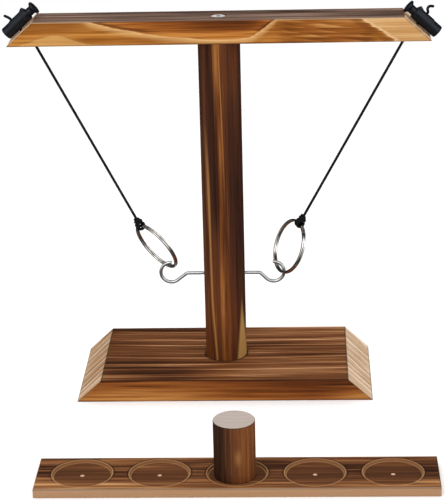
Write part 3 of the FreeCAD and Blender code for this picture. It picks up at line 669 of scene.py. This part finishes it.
def board_wood():
    wood = Wood("board_wood", "X", 4.0)
    low, high = box_mm("shot_board")
    centre = (low + high) / 2
    y = wood.add(wood.y, -centre.y)
    swayed = wood.add(y, wood.sway(14.0))
    ring = wood.years(centre.y + 3.0, -34.0, 8.0, 22.0)
    line = wood.ramp(ring, (0.0, 0.2), (0.5, 0.3), (0.8, 0.55), (0.92, 1.0), (1.0, 0.1))
    middle = wood.hump(swayed, 4.0, 20.0)
    thread = wood.hump(swayed, 5.0, 1.2)
    third = wood.step(swayed, -8.0, -22.0)
    tone = wood.tone(
        0.0, (line, 0.32), (wood.streaks, 0.34), (wood.fibres, 0.2), (wood.bands, 0.2),
        (middle, -0.38), (thread, 0.38), (third, 0.2), (wood.step(wood.x, -20.0, 60.0), -0.1))
    colour = wood.ramp(
        tone, (0.0, 0.034, 0.012, 0.006), (0.25, 0.085, 0.03, 0.012), (0.5, 0.17, 0.064, 0.023),
        (0.75, 0.31, 0.13, 0.045), (1.0, 0.52, 0.275, 0.11))
    # The front face: pale cut wood, painted lighter still to stand in for the light falling on it
    # from the front.
    cut = wood.ramp(
        wood.tone(0.0, (wood.fibres, 0.6), (wood.bands, 0.3)), (0.2, 0.84, 0.68, 0.46),
        (0.8, 0.94, 0.86, 0.7))
    colour = wood.mix(wood.step(y, low.y - centre.y + 0.7, low.y - centre.y + 0.3), colour, cut)
    pitch = RECESS_PITCH / MM
    radius = RECESS_RADIUS / MM
    shifted = wood.add(wood.x, 2.5 * pitch - centre.x)
    cell = wood.minus(wood.math("FLOORED_MODULO", shifted, pitch), pitch / 2)
    gap = wood.length(cell, y)
    below = wood.step(wood.z, high.z - 0.1, high.z - 0.5)
    above = wood.step(wood.z, high.z - 0.5, high.z - 0.1)
    behind = wood.times(above, wood.step(y, -30.0, 0.0))
    # Round each recess: a darker floor, painted shade; a light ring where the floor meets the wall,
    # a painted highlight; the wall's mid brown; a pale rim on the top; and behind the recess a dark
    # ring on the top, painted shade.
    colour = wood.paint(
        colour,
        (wood.times(wood.step(gap, radius, radius - 1.0), below), 0.45, (0.13, 0.048, 0.018)),
        (wood.times(wood.hump(gap, radius - 0.9, 1.3), below), 0.55, (0.52, 0.29, 0.13)),
        (wood.times(wood.step(gap, radius - 0.4, radius - 0.1), below), 0.9, (0.36, 0.175, 0.075)),
        (wood.times(wood.hump(gap, radius + 0.3, 1.1), above), 0.7, (0.5, 0.28, 0.13)),
        (wood.times(wood.hump(gap, radius + 1.8, 1.3), behind), 0.85, CHAR_AND_SHADE))
    dimple = wood.times(wood.step(gap, 2.3, 1.5), below)
    colour = wood.mix(dimple, colour, (0.62, 0.42, 0.27))
    top = (wood.z, high.z, 1.5)
    for side in ((wood.y, low.y, 1.5), (wood.y, high.y, 1.5), (wood.x, high.x, 1.5)):
        colour = wood.paint(colour, (wood.near(side, top), 0.75, (0.05, 0.018, 0.008)))
    return wood.finish_wood(colour, wood.times(line, 0.3))


def peg_wood():
    wood = Wood("peg_wood", "Z", 5.0)
    low, high = box_mm("marker_peg")
    x = wood.add(wood.x, -(low.x + high.x) / 2)
    lit = wood.step(x, -14.0, 6.0)
    tone = wood.tone(-0.08, (wood.streaks, 0.2), (wood.fibres, 0.24), (lit, 0.5))
    colour = wood.ramp(
        tone, (0.0, 0.018, 0.008, 0.005), (0.25, 0.05, 0.019, 0.009), (0.55, 0.15, 0.05, 0.016),
        (0.8, 0.245, 0.088, 0.025), (1.0, 0.42, 0.19, 0.055))
    patch = wood.times(wood.hump(x, 4.0, 5.0), wood.hump(wood.z, low.z + 26.0, 12.0))
    colour = wood.paint(colour, (patch, 0.45, (0.4, 0.18, 0.05)))
    ring = wood.years((low.x + high.x) / 2, high.y + 34.0, 8.0, 10.0)
    cut = wood.ramp(
        wood.tone(0.0, (ring, 0.5), (wood.fine, 0.6)), (0.2, 0.43, 0.365, 0.32),
        (0.8, 0.48, 0.41, 0.365))
    colour = wood.mix(wood.step(wood.z, high.z - 0.8, high.z - 0.3), colour, cut)
    rim = wood.near((wood.z, high.z - 1.0, 0.8))
    colour = wood.paint(colour, (rim, 0.5, CHAR_AND_SHADE))
    return wood.finish_wood(colour, wood.times(wood.streaks, 0.2))


# ---------------- metal, cord and plastic

def metal(name, colour, rough, stain=0.12):
    graph = Graph(name)
    cloud = graph.noise(graph.place, 0.35, 3.0, 0.6)
    grit = graph.noise(graph.place, 4.0, 2.0, 0.6)
    dull = tuple(c * (1 - 2 * stain) for c in colour)
    tint = graph.ramp(cloud, (0.3, *dull), (0.7, *colour))
    roughness = graph.ramp(grit, (0.3, rough * 0.7), (0.7, rough * 1.5))
    graph.bump(grit, 0.08, 0.0001)
    return graph.finish(base_color=tint, roughness=roughness, metallic=1.0)


def bolt_metal():
    """Bright satin steel; the key socket is painted dark, a painted shade down in the hole."""
    graph = Graph("bolt_steel")
    socket = graph.step(graph.gap(0.0, 0.0), 2.35, 2.1)
    tint = graph.mix(socket, (0.93, 0.93, 0.92), (0.02, 0.02, 0.02))
    return graph.finish(base_color=tint, roughness=0.5, metallic=0.5)


def cord_weave():
    """Black polyester braid; the strands themselves are in the mesh."""
    graph = Graph("black_cord")
    fuzz = graph.noise(graph.place, 3.0, 4.0, 0.7)
    tint = graph.ramp(fuzz, (0.3, 0.0025, 0.0025, 0.003), (0.7, 0.01, 0.01, 0.011))
    roughness = graph.ramp(fuzz, (0.3, 0.6), (0.7, 0.85))
    graph.bump(fuzz, 0.5, 0.0002)
    return graph.finish(base_color=tint, roughness=roughness, specular=0.15)


def moulded_plastic():
    graph = Graph("black_plastic")
    cloud = graph.noise(graph.place, 0.25, 3.0, 0.6)
    grain = graph.noise(graph.place, 5.0, 2.0, 0.5)
    tint = graph.ramp(cloud, (0.3, 0.002, 0.004, 0.007), (0.7, 0.005, 0.008, 0.014))
    roughness = graph.ramp(cloud, (0.3, 0.3), (0.7, 0.45))
    graph.bump(grain, 0.12, 0.0001)
    return graph.finish(base_color=tint, roughness=roughness, specular=0.25)


def floor_paper():
    """White paper. What glossy things mirror of it is dark, as under a black card."""
    graph = Graph("floor_paper")
    cloud = graph.noise(graph.place, 0.004, 2.0, 0.5)
    tint = graph.ramp(cloud, (0.3, 0.93), (0.7, 0.95))
    glossy = graph.new("LightPath").outputs["Is Glossy Ray"]
    tint = graph.mix(glossy, tint, (0.06, 0.06, 0.06))
    glow = graph.mix(glossy, (1.0, 1.0, 1.0), (0.0, 0.0, 0.0))
    return graph.finish(base_color=tint, roughness=0.9, specular=0.0, glow=glow, glow_strength=0.1)


# ---------------- places on the object

def bevel_frame(side):
    """Middle of the bar's bevel on one side, its outward normal and the way up it."""
    low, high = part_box("cross_bar")
    thick = high.z - low.z
    slope = math.hypot(BAR_BEVEL, thick)
    middle = Vector((side * (high.x - BAR_BEVEL / 2), 0, low.z + thick / 2))
    normal = Vector((side * thick / slope, 0, BAR_BEVEL / slope))
    upward = Vector((-side * BAR_BEVEL / slope, 0, thick / slope))
    return middle, normal, upward, thick


def cord_exit(side):
    middle, normal, _, thick = bevel_frame(side)
    return middle - normal * (thick / 2 / normal.z)


def hook_centre(name, side):
    _, reach = HOOKS[name]
    return Vector((side * (POST_RADIUS + reach), 0, BASE_TOP + HOOK_HEIGHT + HOOK_RISE))


def ring_frame(name, side):
    """Centre of a ring, the way from its knot to its hook, and the way to its front."""
    seat_turn, seat_gap, dip, roll = SEATS[name]
    turn, dip, roll = (math.radians(angle) for angle in (seat_turn, dip, roll))
    away = HOOK_RADIUS - HOOK_WIRE - RING_BAND / 2 - seat_gap
    low = hook_centre(name, side) + away * Vector((side * math.cos(turn), 0, math.sin(turn)))
    down = Vector((-side * math.cos(dip), 0, -math.sin(dip)))
    inward = Vector((-side * math.sin(dip), 0, math.cos(dip)))
    front = Vector((0, -math.cos(roll), 0)) + inward * math.sin(roll)
    return low - down * (RING_OUTER - RING_BAND / 2), down, front


def ring_top(name, side):
    centre, down, _ = ring_frame(name, side)
    return centre - down * (RING_OUTER - RING_BAND / 2)


def loop_radius():
    return math.hypot(RING_BAND, RING_WIDTH) / 2 + LOOP_CLEAR + CORD_RADIUS


def cord_line(name, side):
    """Start of the taut run, its direction, and its end at the knot."""
    _, normal, _, _ = bevel_frame(side)
    start = cord_exit(side) - normal * (CORD_RADIUS + CORD_GAP)
    direction = (ring_top(name, side) - start).normalized()
    end = ring_top(name, side) - direction * (loop_radius() - CORD_RADIUS + KNOT_LENGTH)
    return start, direction, end


# ---------------- cords and knots

BRAID_STEPS = 24
BRAID_STRANDS = 4
BRAID_PITCH = 5.2 * MM
BRAID_DEPTH = 0.06
CORD_STEP = 0.33 * MM
# a knot has this many points round a strand, strands this far apart, and turns of wrapping
STRAND_STEPS = 72
STRAND_APART = 1.9 * MM
WRAP_STEPS = 120
WRAP_TURNS = 2.35


def spline_points(points):
    """Points of the smooth NURBS line that has these control points."""
    data = bpy.data.curves.new("route", "CURVE")
    data.dimensions = "3D"
    data.resolution_u = 24
    line = data.splines.new("NURBS")
    line.points.add(len(points) - 1)
    for mark, point in zip(line.points, points):
        mark.co = (*point, 1.0)
    line.order_u = 3
    line.use_endpoint_u = True
    route = placed("route", data)
    bpy.context.view_layer.update()
    shown = route.evaluated_get(bpy.context.evaluated_depsgraph_get())
    mesh = bpy.data.meshes.new_from_object(shown)
    found = [v.co.copy() for v in mesh.vertices]
    bpy.data.objects.remove(route)
    bpy.data.meshes.remove(mesh)
    return found


def evenly(points, gap):
    """The same line with points at even distances along it."""
    places = np.array([tuple(p) for p in points])
    walked = np.concatenate([[0.0], np.cumsum(np.linalg.norm(np.diff(places, axis=0), axis=1))])
    count = max(2, round(walked[-1] / gap) + 1)
    marks = np.linspace(0.0, walked[-1], count)
    columns = [np.interp(marks, walked, places[:, k]) for k in range(3)]
    return [Vector(p) for p in zip(*columns)]


def braid(length, dome_start, dome_end):
    """Section of a braided cord: diamonds of crossing strands and rounded cut ends."""

    def section(_, walked):
        shrink = 1.0
        for on, gap in ((dome_start, walked), (dome_end, length - walked)):
            if on and gap < CORD_RADIUS:
                shrink = math.sqrt(max(0.0, 1 - (1 - gap / CORD_RADIUS) ** 2)) * 0.98 + 0.02
        turn = math.tau * walked / BRAID_PITCH
        outline = []
        for angle in angles(BRAID_STEPS):
            one = abs(math.sin((BRAID_STRANDS * angle + turn * BRAID_STRANDS / 2) / 2))
            two = abs(math.sin((BRAID_STRANDS * angle - turn * BRAID_STRANDS / 2) / 2))
            radius = CORD_RADIUS * (1 - BRAID_DEPTH * (1 - math.sqrt(one * two))) * shrink
            outline.append(polar(radius, angle))
        return outline

    return section


def line_length(points):
    return sum((b - a).length for a, b in zip(points, points[1:]))


def cord_tube(name, points, material, dome_start=False, dome_end=False):
    """A braided tube along points that already follow its smooth line."""
    spaced = evenly(points, CORD_STEP)
    length = line_length(spaced)
    return swept(name, spaced, (0.13, 0.97, 0.2), braid(length, dome_start, dome_end), material)


def joined(name, pieces):
    """Several solids as one piece."""
    keep = pieces[0]
    with bpy.context.temp_override(active_object=keep, selected_editable_objects=pieces):
        bpy.ops.object.join()
    keep.name = name
    keep.data.name = name
    return keep


def knot_strands(name, side, material):
    """Three strands round the ring, wraps round the cord above them, and two cut ends."""
    _, direction, end = cord_line(name, side)
    _, _, front = ring_frame(name, side)
    top = ring_top(name, side)
    across = front.cross(direction).normalized()
    radius = RING_REACH + STRAND_CLEAR + CORD_RADIUS
    up = -direction
    depth = up.cross(across)
    pieces = []
    for number in range(3):
        offset = (number - 1) * STRAND_APART
        sink = (1 - math.cos(offset / RING_OUTER)) * RING_OUTER
        strand = []
        for k in range(STRAND_STEPS + 1):
            angle = math.tau * k / STRAND_STEPS
            turn = math.sin(angle) * across + math.cos(angle) * up
            strand.append(top + front * offset - up * sink + radius * turn)
        pieces.append(cord_tube("%s_loop_%d" % (name, number), strand, material))
    base = top + up * (radius - 0.6 * MM)
    rise = (end - base).length - 0.8 * MM
    wraps = []
    for k in range(WRAP_STEPS + 1):
        t = k / WRAP_STEPS
        angle = math.tau * WRAP_TURNS * t + 0.6
        wide = (3.1 - 1.1 * t ** 1.4) * MM
        lean = 0.6 * MM * math.sin(math.tau * t)
        around = wide * (math.cos(angle) * across + math.sin(angle) * depth)
        wraps.append(base + up * (t * rise) + around + across * lean)
    pieces.append(cord_tube(name + "_wraps", wraps, material, True, True))
    core = [base - up * MM, (base + end) / 2, end - up * 0.2 * MM]
    pieces.append(cord_tube(name + "_core", core, material, True, False))
    start = base + up * 0.8 * MM
    for hand in (-1, 1):
        ear = [start, start + across * hand * 3.2 * MM + depth * MM,
               start + across * hand * 4.4 * MM - up * 1.6 * MM + depth * 1.4 * MM]
        ear_name = "%s_ear_%d" % (name, hand + 1)
        pieces.append(cord_tube(ear_name, spline_points(ear), material, False, True))
    return joined(name + "_knot_strands", pieces)


def tail_points(name, side):
    """Control points of the cord: straight through bar and lock, then free to its end."""
    middle, normal, upward, _ = bevel_frame(side)
    leave = middle + normal * (LOCK_GAP + 2 * LOCK_RADIUS)
    points = [leave + normal * out - upward * low for out, low in TAIL_ENDS[name]]
    return [cord_exit(side), leave, *points]


def make_cords(name, side, material):
    start, direction, end = cord_line(name, side)
    lead = 12 * CORD_RADIUS
    control = [start, start + direction * lead, end - direction * lead, end]
    taut = spline_points(control)
    tube = cord_tube(name + "_taut_cord", taut, material, dome_start=True)
    knot = knot_strands(name, side, material)
    seat(tube, name + "_cord", "black_cord", name + "_cord")
    seat(knot, name + "_cord", "black_cord", name + "_knot")
    route = spline_points(tail_points(name, side))
    tail = cord_tube(name + "_tail", route, material, dome_end=True)
    seat(tail, "stand", "black_cord", name + "_cord_tail")


# ---------------- rings, hooks and bolts

# where round the ring its wire starts, in degrees, so that its step lies where it's seen
RING_STARTS = {"left": 90.0, "right": 88.0}
# half the angle over which the wire steps across, and the taper of its two ends
RING_STEP = math.radians(9)
RING_END_SHRINK = (0.72, 0.92)
RING_ROWS = 420
THREAD_PITCH = 1.5 * MM
THREAD_OUT = 3.2 * MM


def ring_section():
    """Rounded flat wire: across the ring, and along its axis."""
    half = RING_BAND / 2
    layer = (RING_WIDTH - RING_GAP) / 4
    ease = RING_EASE
    corners = ((-half, -layer, ease), (half, -layer, ease), (half, layer, ease),
               (-half, layer, ease))
    return rounded_profile(corners)


def make_ring(name, side, material):
    """A split ring: flat wire wound twice, stepping from one layer to the other."""
    centre, down, front = ring_frame(name, side)
    axis = down.cross(front).normalized()
    front = (-down).cross(axis).normalized()
    section = ring_section()
    radius = RING_OUTER - RING_BAND / 2
    offset = (RING_WIDTH + RING_GAP) / 4
    first = RING_STEP + math.radians(1.5)
    last = 2 * math.tau - first
    vertices = []
    for row in range(RING_ROWS + 1):
        turn = first + (last - first) * row / RING_ROWS
        share = smooth_between(turn, math.tau - RING_STEP, math.tau + RING_STEP)
        angle = turn + math.radians(RING_STARTS[name])
        out = math.cos(angle) * front - math.sin(angle) * down
        middle = centre + axis * (offset * (2 * share - 1))
        near_end = min(row, RING_ROWS - row)
        shrink = RING_END_SHRINK[near_end] if near_end < len(RING_END_SHRINK) else 1.0
        for across, along in section:
            vertices.append(middle + out * (radius + across * shrink) + axis * along * shrink)
    faces = tube_faces(RING_ROWS + 1, len(section))
    ring = piece_from(name + "_split_ring", vertices, faces, material, SHARP_THREAD)
    seat(ring, name + "_ring", "polished_ring", name + "_ring")


def hook_points(name):
    """Centre line of a hook on the post's right-hand side, from its hidden end."""
    shank, reach = HOOKS[name]
    grip_end = Vector((POST_RADIUS - HOOK_GRIP, 0, BASE_TOP + HOOK_HEIGHT))
    wire_end = HOOK_GRIP + shank
    bend = Vector((wire_end, 0, -HOOK_BEND))
    bowl = Vector((HOOK_GRIP + reach, 0, HOOK_RISE))
    gap = bowl - bend
    slant = math.atan2(gap.z, gap.x) - math.asin((HOOK_BEND + HOOK_RADIUS) / gap.length)
    quarter = math.pi / 2
    points = [Vector((wire_end, 0, 0)) * k / 240 for k in range(240)]
    points += arc_points(bend, HOOK_BEND, quarter, quarter + slant, 14)
    points += arc_points(bowl, HOOK_RADIUS, slant - quarter, quarter + HOOK_TIP_TURN, 90)
    return [grip_end + p for p in points]


def make_hook(name, side, material):
    """A screw hook: threaded end in the post, shank, and an open bowl of round wire."""
    points = hook_points(name)
    thread_end = HOOK_GRIP + THREAD_OUT
    total = line_length(points)
    ease = 0.5 * MM

    def section(_, walked):
        radius = HOOK_WIRE
        groove = 0.0
        if walked < thread_end:
            groove = min(1.0, (thread_end - walked) / THREAD_PITCH) * 0.17
            radius *= min(1.0, 0.35 + walked / (6 * MM))
        to_tip = total - walked
        if to_tip < ease:
            radius *= 0.75 + 0.25 * math.sqrt(1 - (1 - to_tip / ease) ** 2)
        outline = []
        for angle in angles(28):
            wave = 0.5 + 0.5 * math.cos(angle - math.tau * walked / THREAD_PITCH)
            outline.append(polar(radius * (1 - groove * wave), angle))
        return outline

    hook = swept(name + "_screw_hook", points, (0, 1, 0), section, material, SHARP_THREAD)
    if side < 0:
        hook.data.transform(Matrix.Rotation(math.pi, 4, "Z"))
    seat(hook, "stand", "zinc_steel", name + "_hook")


def make_bolt(name, node, flipped, material):
    """A furniture bolt: flat eased head with a hexagon socket, and a plain shank."""
    low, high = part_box(node)
    length = high.z - low.z
    head = rounded_profile(
        ((HEAD_RADIUS - 0.2 * MM, 0, 0.6 * MM), (HEAD_RADIUS, HEAD_THICK, 0.3 * MM),
         (BOLT_RADIUS, HEAD_THICK, 0.3 * MM), (BOLT_RADIUS, length - MM, 0),
         (BOLT_RADIUS - MM, length, 0)))
    profile = [(0, 0), (SOCKET_FLAT * 1.35, 0), *head[1:], (0, length)]
    bolt = turned(name, profile, 72, material, SHARP_BOLT)
    reach = SOCKET_FLAT / math.cos(math.pi / 6)
    hexagon = [polar(reach, math.tau * (k + 0.5) / 6) for k in range(6)]
    cut_hole(bolt, "Z", hexagon, -MM, SOCKET_DEEP, SHARP_BOLT)
    place = Matrix.Translation((0, 0, low.z))
    if flipped:
        place = Matrix.Translation((0, 0, high.z)) @ Matrix.Rotation(math.pi, 4, "X")
    bolt.data.transform(place)
    seat(bolt, "stand", "zinc_steel", node)


# ---------------- cord locks

def lock_matrix(name, side):
    """The lock's own frame: +Z is the way its plunger comes out, the cord is along X."""
    middle, normal, upward, _ = bevel_frame(side)
    centre = middle + normal * (LOCK_RADIUS + LOCK_GAP) + upward * LOCK_UP[name]
    other = upward.cross(normal)
    turn = Matrix((normal, other, upward)).transposed().to_4x4()
    return Matrix.Translation(centre) @ turn


def lock_swell(height, angle):
    """How far the barrel's wall stands out: a saddle round the hole and a lug at the mouth."""
    mouth = LOCK_LENGTH / 2
    outer = abs(math.remainder(angle, math.tau)) * LOCK_RADIUS
    saddle = smooth_between(height, -6.5 * MM, -3.5 * MM)
    saddle *= 1 - smooth_between(outer, 3.0 * MM, 5.5 * MM)
    saddle *= 1 - smooth_between(height, mouth - 1.2 * MM, mouth - 0.3 * MM)
    lug = smooth_between(height, mouth - 7 * MM, mouth - 2 * MM)
    lug *= 1 - smooth_between(height, mouth - 1.4 * MM, mouth - 0.5 * MM)
    lug *= 1 - smooth_between(outer, 1.6 * MM, 2.6 * MM)
    return 0.5 * MM * saddle + 1.5 * MM * lug


def barrel_profile():
    mouth = LOCK_LENGTH / 2
    bore = PLUNGER_RADIUS + PLUNGER_CLEAR
    foot = rounded_profile(((0, -mouth, 0), (LOCK_RADIUS, -mouth, 1.3 * MM),
                            (LOCK_RADIUS, 0, 0)), 7)[:-1]
    wall = [(LOCK_RADIUS, z * MM) for z in np.arange(-13.5, 14.9, 0.4)]
    lip = [(LOCK_RADIUS - 0.15 * MM, mouth - 0.25 * MM), (LOCK_RADIUS - 0.6 * MM, mouth),
           (bore + 0.3 * MM, mouth), (bore, mouth - 0.3 * MM)]
    inside = [(bore, LOCK_FLOOR - mouth), (0, LOCK_FLOOR - mouth)]
    return [*foot, *wall, *lip, *inside]


def make_barrel(name, side, material):
    """The lock's outer tube, with the cord's hole through it."""

    def outer_only(radius, height, angle):
        if radius < LOCK_RADIUS - 0.7 * MM:
            return 0.0
        return lock_swell(height, angle)

    barrel = turned(name + "_barrel", barrel_profile(), LOCK_STEPS, material, shape=outer_only)
    hole = [(y, z - LOCK_UP[name]) for y, z in circle(LOCK_HOLE, 40)]
    cut_hole(barrel, "X", hole, -3 * LOCK_RADIUS, 3 * LOCK_RADIUS)
    barrel.data.transform(lock_matrix(name, side))
    seat(barrel, "stand", "black_plastic", name + "_lock_barrel")


def plunger_foot(name):
    """Height of the plunger's inner end: below its slot for the cord."""
    return -LOCK_UP[name] - LOCK_HOLE - PLUNGER_FOOT


def make_spring(name, side, material):
    """The coil between the barrel's floor and the plunger's foot."""
    low = LOCK_FLOOR - LOCK_LENGTH / 2
    length = plunger_foot(name) - low
    reach = PLUNGER_RADIUS - SPRING_WIRE
    steps = SPRING_TURNS * 32
    points = []
    for k in range(steps + 1):
        angle = math.tau * SPRING_TURNS * k / steps
        height = low + SPRING_WIRE / 2 + (length - SPRING_WIRE) * k / steps
        points.append((*polar(reach, angle), height))
    outline = circle(SPRING_WIRE / 2, 10)
    coil = swept(name + "_coil", points, (0, 0, 1), lambda *_: outline, material)
    place = lock_matrix(name, side)
    coil.data.transform(place)
    seat(coil, "stand", "spring_steel", name + "_lock_spring")
    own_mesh(coil)


def make_plunger(name, side, material):
    """The push button: slotted stem, fluted flare and a dished flange."""
    mouth = LOCK_LENGTH / 2
    end = mouth + PLUNGER_OUT
    edge = end - FLANGE_THICK
    dish = end - 0.8 * MM
    foot = plunger_foot(name)
    neck = mouth + PLUNGER_TRAVEL + PLUNGER_CLEAR
    flare = []
    for k in range(9):
        t = k / 8
        wide = PLUNGER_RADIUS + (FLANGE_RADIUS - PLUNGER_RADIUS) * t ** 2.2
        flare.append((wide, neck + (edge - neck) * t))
    rim = rounded_profile(((FLANGE_RADIUS, edge, 0), (FLANGE_RADIUS, end, 0.5 * MM),
                           (FLANGE_RADIUS - 1.5 * MM, end, 0.4 * MM),
                           (FLANGE_RADIUS - 2.4 * MM, dish, 0.4 * MM), (0, dish, 0)))
    profile = [(0, foot), (PLUNGER_RADIUS - 0.3 * MM, foot), (PLUNGER_RADIUS, foot + 0.3 * MM),
               (PLUNGER_RADIUS, neck - 0.4 * MM), *flare, *rim[1:]]

    def flutes(radius, height, angle):
        if height < neck or height > end - 2 * MM:
            return 0.0
        return -FLUTE_DEPTH * (0.5 + 0.5 * math.cos(FLUTES * angle))

    plunger = turned(name + "_plunger", profile, LOCK_STEPS, material, shape=flutes)
    hole = -LOCK_UP[name]
    low = hole - LOCK_HOLE
    high = hole + LOCK_HOLE + PLUNGER_TRAVEL
    slot = ((-LOCK_HOLE, low), (LOCK_HOLE, low), (LOCK_HOLE, high), (-LOCK_HOLE, high))
    cut_hole(plunger, "X", slot, -2 * PLUNGER_RADIUS, 2 * PLUNGER_RADIUS)
    plunger.data.transform(lock_matrix(name, side))
    seat(plunger, name + "_plunger", "black_plastic", name + "_lock_plunger")


# ---------------- camera, light and floor

CAMERA_TARGET = Vector((-0.0017, 0.004, 0.1359))
CAMERA_FAR = 1.996
CAMERA_LENS = 140.0
CAMERA_RISE = math.radians(20.0)
CAMERA_TURN = math.radians(-2.54)
CAMERA_ROLL = math.radians(-1.44)
# name, place, what it points at, width and height, and watts
LAMPS = (
    ("key", (-0.7, -1.3, 1.5), (0, -0.1, 0.18), (1.1, 0.9), 9.0),
    ("fill", (1.3, -1.0, 0.9), (0, -0.1, 0.18), (0.9, 1.1), 3.0),
    ("top", (0.0, 0.3, 1.8), (0, 0, 0.1), (1.6, 1.2), 5.0),
)
FLOOR_REACH = 30.0


def make_camera():
    """A long lens a little left of the middle, looking down at the stand."""
    level = math.cos(CAMERA_RISE)
    forward = Vector((math.sin(CAMERA_TURN) * level, math.cos(CAMERA_TURN) * level,
                      -math.sin(CAMERA_RISE)))
    right = Vector((math.cos(CAMERA_TURN), -math.sin(CAMERA_TURN), 0))
    up = right.cross(forward)
    tilted_right = math.cos(CAMERA_ROLL) * right + math.sin(CAMERA_ROLL) * up
    tilted_up = math.cos(CAMERA_ROLL) * up - math.sin(CAMERA_ROLL) * right
    data = bpy.data.cameras.new("camera")
    data.lens = CAMERA_LENS
    data.sensor_width = 36.0
    camera = placed("camera", data)
    turn = Matrix((tilted_right, tilted_up, -forward)).transposed()
    place = Matrix.Translation(CAMERA_TARGET - forward * CAMERA_FAR)
    camera.matrix_world = place @ turn.to_4x4()
    bpy.context.scene.camera = camera


def make_lamp(name, place, target, size, power):
    data = bpy.data.lights.new(name, "AREA")
    data.shape = "RECTANGLE"
    data.size, data.size_y = size
    data.energy = power
    lamp = placed(name, data)
    lamp.location = place
    lamp.rotation_mode = "QUATERNION"
    lamp.rotation_quaternion = (Vector(target) - Vector(place)).to_track_quat("-Z", "Y")


def make_world():
    """White for the eye, soft light all round, and for gloss a front window and two side panels."""
    world = bpy.data.worlds.new("studio")
    bpy.context.scene.world = world
    world.use_nodes = True
    nodes = Nodes(world.node_tree)
    nodes.tree.nodes.clear()
    place = nodes.new("TexCoord").outputs["Generated"]
    aside, deep, high = nodes.new("SeparateXYZ", Vector=place).outputs
    soft = nodes.ramp(high, (0.0, 0.45), (0.4, 0.8), (1.0, 1.0))
    window = nodes.times(nodes.step(deep, -0.1, -0.35), nodes.step(high, -0.3, -0.1))
    window = nodes.times(window, nodes.step(high, 0.85, 0.7))
    panels = nodes.step(nodes.absolute(aside), 0.86, 0.92)
    window = nodes.math("MAXIMUM", window, nodes.times(panels, 0.7))
    mirrored = nodes.ramp(window, (0.0, 0.02), (1.0, 1.3))
    path = nodes.new("LightPath").outputs
    shown = nodes.mix(path["Is Glossy Ray"], soft, mirrored)
    shown = nodes.mix(path["Is Camera Ray"], shown, (1.0, 1.0, 1.0))
    glow = nodes.new("Background", Color=shown)
    nodes.new("OutputWorld", Surface=glow.outputs[0])


def make_studio():
    make_world()
    for lamp in LAMPS:
        make_lamp(*lamp)
    reach = FLOOR_REACH
    corners = [(-reach, -reach, 0), (reach, -reach, 0), (reach, reach, 0), (-reach, reach, 0)]
    floor = piece_from("floor", corners, [(0, 1, 2, 3)], floor_paper())
    bpy.context.scene.view_settings.view_transform = "Standard"


# ---------------- put together

def dress(node, material):
    """Give a CAD node that is shown as it is its finish."""
    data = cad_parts[node].data
    data.materials.clear()
    data.materials.append(material)


make_camera()
make_studio()

cord_material = cord_weave()
steel = metal("zinc_steel", (0.68, 0.72, 0.72), 0.26)
bolt_steel = bolt_metal()
chrome = metal("polished_ring", (0.76, 0.73, 0.7), 0.1, 0.06)
spring_steel = metal("spring_steel", (0.6, 0.6, 0.6), 0.3)
plastic = moulded_plastic()

for name, side in SIDES.items():
    make_cords(name, side, cord_material)
    make_ring(name, side, chrome)
    make_hook(name, side, steel)
    make_barrel(name, side, plastic)
    make_plunger(name, side, plastic)
    make_spring(name, side, spring_steel)

make_bolt("top_bolt_head", "top_bolt", True, bolt_steel)
make_bolt("bottom_bolt_head", "bottom_bolt", False, bolt_steel)
for node, material in (
    ("base_board", base_wood()),
    ("cross_bar", bar_wood()),
    ("post", post_wood()),
    ("shot_board", board_wood()),
    ("marker_peg", peg_wood()),
    ("top_insert", steel),
    ("bottom_insert", steel),
):
    dress(node, material)
